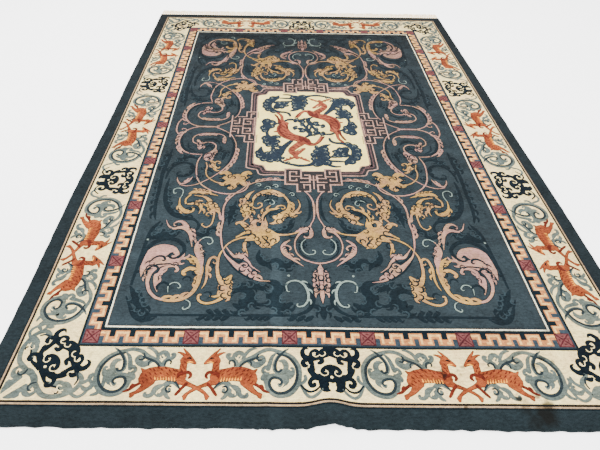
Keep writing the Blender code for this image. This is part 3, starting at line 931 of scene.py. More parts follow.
    # Shading beside the stems and inside the rings
    for points in (
        ((-846, -96, 6), (-850, -170, 20), (-836, -232, 24), (-806, -272, 20), (-756, -292, 12),
        (-700, -298, 6)),
        ((-538, -130, 5), (-510, -200, 14), (-505, -286, 22), (-516, -372, 22), (-546, -446, 14),
        (-590, -506, 5)),
        ((-760, -120, 5), (-700, -80, 10), (-650, -78, 9), (-600, -86, 6)),
        ((-700, -300, 4), (-650, -302, 14), (-606, -286, 20), (-586, -256, 18), (-596, -222, 6)),
        ((-636, -60, 4), (-590, -70, 9), (-556, -100, 10), (-530, -150, 5)),
        ((-350, -640, 3), (-280, -622, 10), (-210, -628, 10), (-150, -664, 9), (-96, -760, 3)),
        ((-66, -700, 4), (-52, -752, 16), (-50, -820, 20), (-62, -880, 16), (-84, -914, 5)),
        ((-118, -1000, 4), (-150, -1020, 12), (-168, -1010, 14), (-160, -985, 6)),
        ((-108, -1048, 4), (-120, -1086, 10), (-110, -1128, 10), (-80, -1158, 10), (-36, -1168, 5)),
        ((-80, -620, 18), (-60, -606, 28), (-30, -612, 26)),
        ((-700, -160, 10), (-660, -150, 26), (-620, -170, 20), (-600, -200, 6)),
        ((-800, -200, 8), (-790, -250, 16), (-750, -280, 10)),
    ):
        deep(points)
    # Clouds of deep blue that fill the ground between the side scrolls and under the leaves
    for x, y, turn, size in (
        (-690, -240, 20, 46), (-560, -330, 80, 40), (-640, -470, 140, 38), (-420, -760, 60, 36),
        (-280, -745, 0, 34),
        (-760, -980, 30, 36), (-560, -960, 200, 34), (-230, -560, 10, 30), (-640, -1060, 150, 34),
        (-160, -760, 120, 30),
        (-700, -560, 60, 34), (-100, -1080, 90, 30),
    ):
        cosine, sine = math.cos(math.radians(turn)), math.sin(math.radians(turn))
        deep([(x - cosine * size, y - sine * size, size * 0.3), (x, y, size * 0.8), (x + cosine * size * 0.9,
            y + sine * size * 0.9, size * 0.5)], combs=[(.1, .9, 3, 1, size * 0.8, 100),
            (.2, .9, 2, -1, size * 0.7, 100)])
    # Small spirals in deep blue over the pink and gold leaves
    for x, y, size, heading, turn in (
        # where the stroke begins, its size, the way it sets out and how far it turns, in mm and degrees
        (-840, -1230, 60, 60, -230), (-780, -1360, 60, 120, -200), (-610, -1140, 34, 70, -260),
        (-672, -1300, 40, 90, -200),
        (-545, -1404, 44, 10, 230), (-560, -1210, 32, 80, -260), (-345, -1270, 44, 150, -280),
        (-400, -1056, 46, 40, -220),
        (-296, -1068, 40, 80, -280), (-198, -1108, 36, 90, -280), (-506, -545, 40, 90, -250),
        (-446, -540, 40, 70, -250),
        (-514, -634, 38, 90, -230), (-460, -620, 34, 90, -260), (-400, -745, 34, 60, 180),
        (-349, -690, 44, 260, 300),
        (-308, -704, 36, 80, -250), (-256, -718, 38, 90, -260), (-412, -782, 32, 80, -270),
        (-408, -840, 34, 80, -240),
        (-232, -818, 34, 80, -280), (-200, -868, 28, 70, -220), (-258, -860, 34, 80, -230),
        (-380, -1018, 46, 90, -230),
        (-310, -1020, 38, 60, -220), (-706, -828, 46, 90, -190), (-728, -782, 40, 90, -160),
        (-612, -874, 34, 80, -260),
        (-640, -692, 30, 40, -130), (-690, -692, 30, 40, -130), (-772, -938, 30, 80, -280),
        (-627, -312, 36, 80, -280),
        (-672, -345, 34, 20, -150), (-600, -420, 34, 250, 220), (-110, -1000, 30, 40, -140),
        (-660, -360, 32, 120, -230),
    ):
        quarter.eye("deep", x, y, size, heading, turn, layer=2)
    deep([(-35, -1240, 3), (-31, -1300, 6), (-31, -1380, 3)], layer=2)
    quarter.dot("pale", -883, -1046, 12, layer=3)
    quarter.dot("pale", -174, -1270, 13, layer=3)
    return quarter


FIELD_YARNS = {
    "rose": wool("rose wool", (156, 116, 106), second=(154, 122, 90), share=0.6, mottle=0.22, along_weight=0.85),
    "gold": wool("gold wool", (164, 128, 68), second=(156, 116, 88), share=0.6, mottle=0.22, along_weight=0.85),
    "pale": wool("pale grey wool", (116, 130, 122), mottle=0.12, along_weight=0.8),
    "deep": wool("deep blue wool", (17, 27, 32), mottle=0.20, along_weight=0.8),
    "mist": wool("mist blue wool", (38, 50, 55), mottle=0.14, along_weight=0.8),
}


def four_ways(drawing, middle):
    """A quarter drawn from the rug's middle, measured again from the middle it is turned about."""
    for lines in drawing.yarns.values():
        for _, samples, _ in lines:
            for sample in samples:
                sample[0] -= middle[0]
                sample[1] -= middle[1]
    return [(*middle, 0, False), (*middle, 180, False), (*middle, 0, True), (*middle, 180, True)]


field = field_quarter()
field_places = four_ways(field, FIELD_MIDDLE)
# The deep blue outline of the field's scrollwork: partly the rug's own dark outline, partly painted shade
# along the incised edges
add_outline("field_outline_pile", field, field_places, ("rose", "gold", "pale"), 4.0, FIELD_YARNS["deep"])
add_pattern("field", field, field_places, FIELD_YARNS)

# Medallion
# The cream panel at the middle of the field, with notched corners, three ruled lines in rose and mauve
# around it and a bracket of key fret on each of its four sides.
MEDALLION_MIDDLE = (-18, 3)
MEDALLION_YARNS = {
    "plum": wool("plum grey wool", (40, 38, 39), mottle=0.12),
    "rose": wool("pale rose wool", (170, 132, 116), mottle=0.12),
    "mauve": wool("mauve wool", (92, 68, 68), mottle=0.10),
    "umber": wool("umber wool", (74, 58, 49), mottle=0.06),
}

# The panel's main part and its two ends between the notched corners, each by two of its corners in mm
PANEL_PARTS = (((-374, -437), (338, 443)), ((-336, -484), (300, -437)), ((-336, 443), (300, 490)))
PANEL_LIFT = 0.62
bm = bmesh.new()
for low, high in PANEL_PARTS:
    cloth_grid(bm, low, high, FACE + PANEL_LIFT * MM)
add_pile("medallion_panel_pile", bm, wool(
    "medallion cream wool", (254, 234, 142), abrash=0.04, mottle=0.08, second=(250, 218, 122), share=0.6,
    grain=0.35
))


def medallion_quarter():
    """The lower left quarter of the ruled lines and brackets, measured from the rug's middle."""
    quarter = Drawing()
    across, up = MEDALLION_MIDDLE

    def ruled(yarn, inset, width, layer):
        points = [(-418, up), (-418, -220), (-418, -422), (-410, -446), (-386, -456), (-358, -462),
        (-348, -480),
                  (-340, -502), (-318, -512), (-200, -513), (across, -513)]
        quarter.line(yarn, [ (x + inset * min(1.0, (across - x) / 300), y + inset * min(1.0, (up - y) / 400),
            width) for x, y in points ], layer=layer)

    ruled("plum", 22, 46, 0)
    ruled("rose", 0, 8, 1)
    ruled("mauve", 20, 8, 1)
    ruled("rose", 40, 7, 1)
    quarter.line("mauve", [(-372, -400, 4), (-368, -424, 6), (-354, -434, 6)], hook=(11, 170), layer=2)
    quarter.line("mauve", [(-300, -476, 4), (-320, -474, 6), (-332, -462, 6)], hook=(11, -170), layer=2)

    # Bracket on the long side, its grounds and then its lines
    for x, y, wide, long in ((-478, -40, 140, 110), (-412, -132, 66, 100)):
        quarter.bar("plum", x, y, wide, long, layer=2)
    for width, *corners in (
        (9, (-500, -112), (-445, -112), (-445, -178), (-376, -178), (-376, -100)),
        (9, (-541, up - 6), (-541, -122)),
        (7, (-541, up), (-463, up)),
        (8, (-521, -30), (-491, -30), (-491, -84)),
        (8, (-541, -60), (-512, -60)),
        (8, (-463, -10), (-463, -84), (-392, -84)),
        (8, (-463, -22), (-414, -22), (-414, -56), (-438, -56)),
        (9, (-414, -102), (-414, -152), (-394, -152)),
        (7, (-388, -4), (-388, -100)),
    ):
        quarter.path("rose", corners, width, layer=3)
    quarter.path("umber", ((-366, -100), (-366, -184)), 4, layer=2)

    # Bracket on the short side, in two stages
    for x, y, wide, long in ((-136, -524, 100, 150), (-66, -562, 96, 146), (-78, -632, 76, 66)):
        quarter.bar("plum", x, y, wide, long, layer=2)
    for width, *corners in (
        (10, (-184, -455), (-184, -598), (-115, -598), (-115, -661), (-100, -661)),
        (10, (-184, -455), (-91, -455), (-91, -542), (-50, -542)),
        (9, (-118, -500), (-118, -481), (-157, -481), (-157, -566), (-118, -566), (-118, -552)),
        (9, (-157, -525), (-95, -525)),
        (9, (-68, -512), (-41, -512), (-41, -578), (-94, -578)),
        (9, (-76, -630), (-76, -601), (-41, -601), (-41, -660), (-72, -660)),
        (8, (across, -520), (across, -636)),
        (8, (across, -556), (-36, -556), (-36, -520)),
    ):
        quarter.path("rose", corners, width, layer=3)
    quarter.path("umber", ((-168, -574), (-174, -588), (-130, -588)), 6, layer=3)
    return quarter


quarter = medallion_quarter()
add_pattern("medallion_frame", quarter, four_ways(quarter, MEDALLION_MIDDLE), MEDALLION_YARNS)

# Deer and clouds of the medallion
# Two deer leap in opposite ways around the middle of the cream panel, among slate blue cloud bands.
# One deer and one half of the clouds are drawn and then turned half round for the others.
PANEL_YARNS = {
    "rust": wool("faded rust wool", (146, 76, 54), second=(112, 52, 40), share=0.7, mottle=0.3),
    "wine": wool("faded wine wool", (90, 38, 31), mottle=0.16),
    "cloud": wool("slate cloud wool", (32, 42, 52), mottle=0.18),
    "foam": wool("pale slate wool", (118, 124, 112), mottle=0.10),
    "cream": wool("panel cream wool", (250, 224, 150), mottle=0.05, grain=0.4),
}
PANEL_WIDER = {"cloud": (1.1, 9.0), "rust": (1.14, 4.5), "wine": (1.1, 3.5), "cream": (1.0, 1.0)}
PUFF_SHAPE = ((0.0, 0.66), (0.25, 0.74), (0.5, 0.74), (0.75, 0.62), (0.95, 0.42), (1.06, 0.12))


def medallion_half():
    """One deer and half of the clouds, measured from the rug's middle."""
    half = Drawing({"cloud": "cream"}, PANEL_WIDER, {"rust": 3, "wine": 4})
    rust, wine, cream, cloud = (partial(half.line, yarn) for yarn in ("rust", "wine", "cream", "cloud"))

    def puff(x, y, size, heading, turn):
        """A rounded end of a cloud, with a pale hook in its heart."""
        body = bent(x, y, heading, turn, size * 1.3, size * 1.35, PUFF_SHAPE)
        half.yarns["cloud"].append((1, body, True))
        middle = body[2]
        half.eye("foam", middle[0], middle[1], size * 0.5, heading + 0.4 * turn, 1.8 * turn)

    # Deer, its rump up and its head low between the clouds
    wine([(-250, 152, 9), (-238, 128, 12), (-226, 96, 12), (-216, 52, 20)], layer=3)
    rust([(-232, 174, 8), (-212, 152, 11), (-203, 126, 12), (-201, 90, 13), (-196, 48, 30)])
    rust([(-172, 44, 26), (-190, 20, 52), (-198, -22, 64), (-184, -72, 70), (-146, -112, 64),
        (-100, -130, 56), (-62, -150, 54), (-34, -184, 40), (-22, -200, 20)])
    rust([(-216, -52, 14), (-236, -58, 10), (-252, -58, 3)])
    rust([(-30, -196, 22), (0, -202, 12), (26, -176, 11), (44, -142, 11), (58, -108, 7)])
    wine([(-14, -190, 18), (18, -192, 11), (46, -160, 11), (64, -128, 10), (74, -108, 6)], layer=3)
    rust([(-62, -150, 46), (-82, -186, 40), (-114, -220, 34), (-140, -254, 32), (-140, -286, 30),
        (-118, -306, 28)])
    rust([(-124, -304, 28), (-104, -284, 28), (-84, -262, 22), (-60, -244, 10)])
    rust([(-124, -310, 22), (-116, -330, 20), (-110, -346, 14)])
    rust([(-116, -330, 8), (-142, -344, 8), (-168, -362, 9), (-192, -372, 4)])
    rust([(-108, -334, 8), (-84, -344, 8), (-60, -360, 9), (-34, -374, 4)])
    for x, y in ((-150, -346), (-172, -362), (-80, -346), (-56, -360)):
        rust([(x, y, 5), (x - 2, y + 12, 3)])
    wine([(-62, -128, 14), (-44, -146, 34), (-36, -172, 30), (-26, -194, 14)])
    wine([(-86, -110, 12), (-76, -130, 30), (-74, -152, 24), (-80, -170, 8)])
    wine([(-210, 20, 6), (-222, -20, 10), (-214, -64, 10), (-192, -98, 10), (-160, -132, 8), (-120, -150, 5)])
    wine([(-180, 34, 4), (-168, 6, 8), (-166, -28, 6)])
    for x, y, size in (
        # dark tufts that dapple the rump, the back and the neck
        (-206, 24, 10), (-192, 6, 11), (-178, -14, 10), (-208, -14, 11), (-192, -40, 12), (-176, -56, 10),
        (-198, -68, 11),
        (-170, -84, 12), (-146, -92, 10), (-152, -116, 11), (-124, -104, 11), (-116, -128, 10),
        (-94, -182, 10),
        (-112, -206, 10), (-100, -222, 9), (-130, -236, 10), (-144, -262, 9), (-128, -290, 9),
    ):
        wine([(x - size, y + 4, 1), (x, y, size * 0.65), (x + size, y - 5, 1)])
    cream([(-98, -268, 3), (-90, -258, 6), (-80, -252, 3)], layer=4)

    # Great ring cloud
    cloud([(-145, 138, 9), (-152, 165, 13), (-178, 184, 14), (-225, 190, 20), (-266, 206, 36),
        (-296, 240, 46), (-304, 285, 50), (-292, 330, 50), (-266, 362, 46), (-238, 388, 34), (-226, 412, 8)])
    cloud([(-240, 250, 40), (-222, 290, 44), (-190, 300, 44), (-160, 326, 24), (-138, 338, 6)])
    cloud([(-222, 382, 6), (-180, 378, 11), (-140, 376, 12), (-108, 366, 16)])
    cloud([(-190, 430, 5), (-160, 431, 11), (-130, 421, 14), (-108, 402, 18)])
    cloud([(-62, 418, 20), (-76, 388, 44), (-80, 340, 50), (-74, 292, 48), (-86, 246, 36), (-112, 218, 22),
        (-140, 204, 6)])
    cloud([(-52, 364, 16), (-44, 392, 11), (-20, 414, 11), (24, 425, 12), (62, 429, 13), (94, 422, 9)])
    # Column of clouds beside the rump
    cloud([(-308, 44, 42), (-298, 0, 44), (-300, -36, 24), (-300, -70, 13), (-294, -104, 16),
        (-276, -140, 42), (-270, -180, 42), (-260, -218, 24), (-258, -246, 13)], hook=(11, -150))
    cloud([(-286, 12, 26), (-262, 22, 18), (-238, 40, 15), (-220, 38, 8)])
    # Leaf in the lower corner and the stem that rises from it
    cloud([(-332, -232, 3), (-338, -262, 20), (-332, -298, 36), (-306, -332, 44), (-266, -342, 46),
        (-236, -324, 42), (-214, -286, 38), (-200, -250, 32), (-176, -210, 27), (-150, -174, 20),
        (-132, -148, 9)])
    cloud([(-222, -366, 12), (-196, -388, 13), (-156, -406, 13), (-98, -418, 13), (-44, -410, 12),
        (-12, -384, 11), (-4, -352, 8)], combs=[(.05, .2, 2, 1, 22, 70)])
    # Puffs of cloud along all of them, each with a pale hook in its heart
    for x, y, size, heading, turn in (
        # where the puff grows from, its size, the way it grows and how far it turns, in mm and degrees
        (-244, 378, 42, 120, 130), (-276, 352, 44, 150, 120), (-296, 322, 44, 175, 120),
        (-304, 284, 44, 195, 120),
        (-296, 246, 42, 215, 120), (-268, 218, 38, 240, 110), (-252, 300, 46, 70, -120),
        (-214, 306, 40, 75, -110),
        (-182, 306, 34, 90, -90), (-196, 286, 38, -60, 120), (-232, 262, 44, -50, 130),
        (-214, 240, 38, 20, 130),
        (-92, 400, 42, 150, 110), (-62, 410, 34, 60, -110), (-58, 364, 40, 30, -120), (-50, 330, 40, 0, -110),
        (-56, 296, 36, -25, -110), (-94, 350, 40, 170, 110), (-98, 316, 42, 195, 110),
        (-92, 276, 38, 190, 110),
        (-92, 240, 36, 200, -120), (-66, 250, 32, -20, -110),
        (-316, 46, 48, 120, -150), (-296, 50, 46, 60, -140), (-312, 8, 42, 190, 120),
        (-306, -22, 40, 205, 110),
        (-288, -6, 34, -20, 110), (-286, -122, 44, 160, 120), (-284, -152, 46, 185, 120),
        (-276, -182, 42, 210, 110),
        (-262, -132, 44, 60, -110), (-258, -160, 40, 20, -110), (-252, -188, 34, -20, -100),
        (-338, -276, 36, 190, 110), (-332, -302, 42, 205, 110), (-314, -330, 44, 225, 110),
        (-286, -346, 44, 250, 110),
        (-254, -346, 42, 275, 110), (-228, -334, 36, 300, 110), (-276, -318, 38, 80, 120),
        (-244, -304, 38, 110, 110),
        (-228, -268, 36, 130, 110), (-204, -236, 32, 120, 110),
    ):
        puff(x, y, size, heading, turn)
    # Clouds about the middle
    cloud([(-190, 62, 5), (-164, 84, 12), (-130, 88, 12), (-96, 82, 12), (-62, 88, 12), (-34, 100, 10),
        (-8, 110, 5)])
    for x, y, size, heading, turn in (
        (-98, 62, 38, 150, -150), (-86, 58, 40, 60, -130), (-74, 48, 34, -30, -120),
        (-104, -28, 36, 150, -140), (-92, -32, 40, 50, -130), (-84, -44, 36, -50, 130),
    ):
        puff(x, y, size, heading, turn)
    cloud([(-48, 102, 8), (-62, 68, 12), (-56, 30, 13), (-38, -8, 13), (-18, -44, 17), (-14, -76, 20),
        (-28, -102, 14), (-52, -120, 6)])
    cloud([(-30, 98, 6), (-8, 66, 12), (0, 30, 13), (-4, 0, 10), (-16, -30, 8)])
    return half


half = medallion_half()
half_places = four_ways(half, MEDALLION_MIDDLE)[:2]
add_outline("medallion_outline_pile", half, half_places, ("rust",), 1.8, PANEL_YARNS["wine"], highest=3)
add_pattern("medallion", half, half_places, PANEL_YARNS)

# Fret band
# A meander in fawn pile between the field and the main border: dark blocks stand in from its inner line,
# slate blocks from its outer line, and rose squares with a crossed centre break it at even steps.
FRET_INNER, FRET_OUTER = (973, 1571), (1035, 1634)
FRET_SQUARES_ACROSS = (-1003, -588, -174, 158, 572, 1003)
FRET_SQUARES_ALONG = (-1602, -1206, -807, -408, -8, 391, 790, 1190, 1602)
FRET_PITCH = 84
BLOCK_REACH = 33

FRET_YARNS = {
    "dark": wool("dark navy wool", (15, 26, 32), abrash=0.05),
    "slate": wool("slate block wool", (50, 62, 70), abrash=0.06),
    "fawn": wool("pale fawn wool", (232, 184, 112), mottle=0.06),
    "rose": wool("dusty rose wool", (112, 66, 64), mottle=0.12),
    "red": wool("wine wool", (76, 32, 36), mottle=0.10),
}


def fret_run(drawing, stations, inner, outer):
    """The fret of one side, drawn along x with the field above it."""
    for start, end in zip(stations, stations[1:]):
        count = round((end - start) / FRET_PITCH) - 1
        pitch = (end - start) / (count + 1)
        for index in range(count + 1):
            slate_x, dark_x = start + pitch * (index + 0.5), start + pitch * index
            drawing.bar("slate", slate_x, -outer + BLOCK_REACH / 2 - 1, 20, BLOCK_REACH)
            middle = -(inner + outer) / 2
            drawing.path("fawn", ((dark_x + 10, -outer + 14), (slate_x - 22, -outer + 14), (slate_x - 22,
            -inner - 14),
                                  (slate_x + 22, -inner - 14), (slate_x + 22, -outer + 14)), 11, layer=0)
            if index:
                drawing.bar("dark", dark_x, -inner - BLOCK_REACH / 2 + 1, 24, BLOCK_REACH)
    for x in stations[1:-1]:
        fret_square(drawing, x, -(inner + outer) / 2)


def fret_square(drawing, x, y):
    """A rose square with a wine edge and a crossed centre."""
    drawing.bar("rose", x, y, 66, 66, layer=2)
    for side in (-1, 1):
        drawing.bar("red", x, y + side * 31, 66, 4, layer=3)
        drawing.bar("red", x + side * 31, y, 4, 66, layer=3)
        drawing.line("red", [(x - 28, y - side * 28, 6), (x, y, 7), (x + 28, y + side * 28, 6)], layer=3)
        drawing.bar("red", x + side * 19, y, 5, 12, layer=3)
        drawing.bar("red", x, y + side * 19, 12, 5, layer=3)


for name, places, stations, reach in (
    ("fret_ends", ((0, 0, 0, False), (0, 0, 0, True)), FRET_SQUARES_ACROSS, (FRET_INNER[1], FRET_OUTER[1])),
    ("fret_sides", ((0, 0, -90, False), (0, 0, -90, True)), FRET_SQUARES_ALONG, (FRET_INNER[0],
    FRET_OUTER[0])),
):
    fret = Drawing()
    fret_run(fret, stations, *reach)
    add_pattern(name, fret, places, FRET_YARNS)
fret_corner = Drawing()
fret_square(fret_corner, FRET_SQUARES_ACROSS[0], FRET_SQUARES_ALONG[0])
add_pattern("fret_corner", fret_corner, [(0, 0, turn, mirror) for turn in (0, 180) for mirror in (False,
True)],
            FRET_YARNS)

# Guard lines
# Narrow plain stripes, a few knots wide each, that part the field, the fret and the two borders. They
# are knotted in the same pile, in one yarn all the way round.
GUARD_LINES = (
    # name, outer corner, inner corner, yarn
    ("guard_white", (961, 1559), (954, 1552), wool("white wool", (244, 244, 214), mottle=0.10)),
    ("guard_field_dark", (976, 1574), (961, 1559), FRET_YARNS["dark"]),
    ("guard_slate", (1041, 1640), (1032, 1631), FRET_YARNS["slate"]),
    ("guard_fret_dark", (1051, 1650), (1041, 1640), FRET_YARNS["dark"]),
    ("guard_border_dark", (1287, 1887), (1278, 1878), wool("brown black wool", (22, 19, 18))),
    ("guard_tan", (1294, 1894), (1287, 1887), wool("tan wool", (170, 142, 108), mottle=0.12)),
    ("guard_outer_dark", (1300, 1900), (1294, 1894), FRET_YARNS["dark"]),
)
GUARD_LIFT = 0.9
for name, outer, inner, material in GUARD_LINES:
    bm = bmesh.new()
    add_frame(bm, outer, inner, FACE + GUARD_LIFT * MM)
    add_pile(name, bm, material)

# Border scrollwork
# Grey volutes and small clouds that link the deer, each shaded by a darker line along its inner edge.
# One drawing holds the right half of a link: cloud, arch and ring. It is turned over for the left half.
SCROLL_YARNS = {
    "grey": wool("silver grey wool", (84, 94, 89), second=(106, 112, 98), share=0.5, mottle=0.18),
    "line": wool("steel wool", (34, 43, 47), mottle=0.12),
    "cream": wool("cream highlight wool", (250, 228, 164), mottle=0.05, grain=0.5),
    "navy": wool("midnight wool", (10, 20, 27), mottle=0.2),
}
SCROLL_WIDER = {"grey": (1.06, 1.0), "line": (1.25, 1.5), "cream": (1.0, 1.0), "navy": (1.2, 0.0)}
SCROLL_LAYERS = {"line": 2, "cream": 3}
UNIT_ACROSS, UNIT_ALONG = (-536, 518), (-1140, -8, 1124)
SIDE_MIDDLE, END_MIDDLE = 1165, 1762


def around(places_near, places_left):
    """Places of a motif on all four sides, given its stations along the near and the left side."""
    places = []
    for x in places_near:
        places += [(x, -END_MIDDLE, 0), (x, END_MIDDLE, 180)]
    for y in places_left:
        places += [(-SIDE_MIDDLE, y, -90), (SIDE_MIDDLE, y, 90)]
    return places


def both_halves(places):
    """Adds the half turned over to each of the places."""
    return [spot for x, y, turn in places for spot in ((x, y, turn, False), (x, y, turn + 180, True))]


def link_scroll():
    """The right half of a link, measured from the middle of its two deer."""
    link = Drawing({"grey": "line"}, SCROLL_WIDER, SCROLL_LAYERS)
    grey, shade, cream = (partial(link.line, yarn) for yarn in ("grey", "line", "cream"))
    # Arch from the cloud into the ring and on to the ring's heart
    grey([(150, 28, 8), (172, 50, 16), (212, 70, 17), (244, 92, 17), (278, 101, 16), (312, 94, 16),
        (346, 84, 15), (378, 62, 16), (398, 26, 17), (401, -14, 17), (392, -50, 18), (364, -80, 19),
        (328, -92, 18), (297, -86, 17), (276, -66, 17), (269, -40, 18), (278, -18, 18), (300, -10, 17),
        (326, -16, 16), (341, -32, 14), (334, -50, 13)], hook=(14, -150, 1.4))
    shade([(160, 26, 6), (180, 46, 8), (214, 60, 8), (232, 68, 6)])
    shade([(310, 84, 5), (344, 74, 8), (370, 54, 9), (388, 22, 9), (390, -14, 9), (380, -46, 9),
        (356, -72, 9), (326, -82, 9), (300, -76, 9), (284, -58, 9), (280, -38, 9), (290, -22, 8),
        (308, -20, 8), (324, -26, 8), (330, -38, 7), (322, -47, 5)])
    # Strand that crosses the arch and hooks back over the heart
    grey([(356, 106, 4), (336, 92, 12), (312, 66, 15), (298, 34, 15), (302, 8, 14), (318, 0, 12)],
        hook=(12, 190, 1.3))
    shade([(342, 98, 4), (326, 82, 8), (308, 56, 8), (302, 30, 9), (306, 10, 8), (318, 6, 8), (328, 14, 6)])
    # Shoulder of the ring and the lobes about its heart
    grey([(308, 90, 5), (290, 70, 14), (281, 44, 17), (274, 18, 20), (268, -4, 18), (262, -24, 14),
        (264, -44, 10)])
    grey([(276, 20, 18), (262, 22, 18), (252, 12, 14)], hook=(10, 150, 1.2))
    grey([(272, -4, 16), (258, -8, 16), (250, -20, 12)], hook=(9, 140, 1.2))
    cream([(262, 12, 3), (270, 4, 4), (282, 6, 4), (286, 16, 3)])
    grey([(318, 52, 6), (334, 50, 20), (346, 36, 22), (344, 16, 20), (330, 6, 14)])
    grey([(334, -6, 14), (350, -6, 22), (362, -16, 18), (372, -2, 18), (376, 14, 12)], hook=(10, 130, 1.2))
    grey([(340, 6, 20), (356, 2, 26), (366, -4, 16)])
    cream([(322, 20, 3), (330, 30, 4), (326, 42, 4), (314, 40, 3)])
    grey([(330, -16, 22), (346, -26, 26), (342, -42, 20), (326, -52, 10)])
    cream([(306, -50, 3), (314, -60, 4), (328, -58, 4), (336, -46, 3)])
    # Cloud over the deer's back
    grey([(148, 28, 22), (144, 44, 18), (132, 58, 22), (118, 60, 18), (108, 70, 16)], hook=(10, -170, 1.3))
    grey([(134, 60, 20), (138, 78, 22), (152, 88, 20), (166, 82, 18), (168, 68, 14)], hook=(9, -150, 1.3))
    cream([(142, 66, 3), (148, 58, 4), (160, 60, 4), (164, 70, 3)])
    shade([(140, 32, 6), (138, 48, 6), (126, 54, 5), (116, 46, 5), (118, 38, 4)])
    grey([(172, 56, 10), (178, 78, 13), (192, 96, 14), (210, 106, 11), (224, 107, 5)])
    grey([(186, 52, 10), (204, 46, 20), (222, 34, 26), (242, 40, 24), (256, 52, 18), (252, 66, 15)],
        hook=(12, 150, 1.3))
    shade([(198, 50, 5), (206, 42, 5), (204, 30, 4)])
    shade([(232, 80, 4), (226, 66, 6), (234, 54, 6), (246, 56, 5)])
    # Cloud under its belly
    grey([(66, -66, 5), (80, -50, 12), (98, -40, 16), (118, -46, 20), (128, -62, 20), (120, -80, 18),
        (106, -78, 12)], hook=(9, -150, 1.2))
    shade([(66, -64, 4), (80, -46, 6), (98, -34, 6), (116, -36, 4)])
    shade([(100, -58, 4), (112, -56, 5), (119, -68, 6), (112, -80, 5), (100, -78, 4)])
    grey([(126, -56, 14), (146, -60, 20), (160, -70, 22), (166, -86, 18), (178, -96, 16), (192, -96, 14)],
        hook=(9, 130, 1.3))
    grey([(124, -78, 18), (134, -92, 18), (148, -92, 14)], hook=(8, 140, 1.2))
    grey([(118, -84, 16), (110, -98, 14), (100, -104, 10)])
    cream([(128, -58, 3), (138, -68, 3), (148, -78, 4), (150, -88, 3)])
    # Grey arm from the ring towards the hooked motif
    grey([(398, -40, 10), (412, -62, 13), (424, -88, 12), (446, -102, 12), (470, -92, 12), (486, -76, 8)])
    grey([(400, -46, 10), (416, -38, 13), (424, -24, 14), (422, -14, 12)])
    return link


link_places = both_halves(around(UNIT_ACROSS, UNIT_ALONG))
add_pattern("border_scroll", link_scroll(), link_places, SCROLL_YARNS)


def corner_scroll():
    """One half of the volutes that turn each corner of the border, measured from the corner's middle."""
    corner = Drawing({"grey": "line"}, SCROLL_WIDER, SCROLL_LAYERS)
    grey, shade, cream = (partial(corner.line, yarn) for yarn in ("grey", "line", "cream"))
    grey([(0, 144, 10), (-16, 168, 17), (-40, 180, 18), (-74, 164, 19), (-94, 128, 19), (-102, 88, 19),
        (-94, 48, 19), (-70, 22, 20), (-40, -2, 20), (-8, -22, 22), (6, -42, 16)], start=(10, 150, 1.2))
    shade([(-6, 150, 4), (-16, 158, 6), (-34, 164, 5), (-52, 158, 4)])
    grey([(-78, 152, 18), (-66, 140, 24), (-52, 126, 22), (-48, 112, 14)])
    grey([(-84, 128, 14), (-64, 120, 26), (-50, 102, 26), (-50, 82, 20), (-58, 66, 14), (-46, 60, 8)])
    cream([(-76, 122, 3), (-78, 108, 4), (-68, 96, 4), (-56, 100, 4), (-60, 112, 3)])
    grey([(-60, 186, 10), (-72, 204, 18), (-64, 222, 18), (-50, 226, 12)], hook=(9, -140, 1.3))
    grey([(-46, 186, 14), (-30, 208, 14), (-8, 214, 10)])
    # Leaf that points into the corner
    grey([(-44, -6, 14), (-62, -8, 20), (-78, -22, 22), (-92, -14, 20), (-96, 4, 16), (-84, 18, 12)],
        hook=(10, -120, 1.2))
    shade([(-46, 8, 4), (-50, -6, 6), (-62, -16, 6), (-76, -10, 5), (-78, 0, 4)])
    grey([(-60, -26, 16), (-82, -46, 24), (-98, -66, 24), (-106, -88, 8)])
    grey([(-84, -50, 18), (-98, -44, 18), (-104, -56, 10)])
    cream([(-106, -98, 3), (-78, -68, 5), (-44, -38, 3)])
    # Link to the first ring
    grey([(-94, 232, 8), (-88, 250, 14), (-70, 262, 14), (-40, 266, 15), (-6, 262, 13)])
    return corner


corner_places = []
for turn in (0, 180):
    for mirror in (False, True):
        for swap in (False, True):
            x_side = -1 if (turn == 0) else 1
            y_side = (-1 if (turn == 0) else 1) * (-1 if mirror else 1)
            corner_turn = turn + (90 if swap else 0) * (-1 if mirror else 1)
            corner_places.append((x_side * SIDE_MIDDLE, y_side * END_MIDDLE, corner_turn, mirror != swap))
add_pattern("corner_scroll", corner_scroll(), corner_places, SCROLL_YARNS)

# Hooked motifs
# The archaic interlaced hooks, in midnight pile, that stand between the deer and in the four corners:
# a ring of paired curls around a smaller face-like heart, picked out with cream lines.


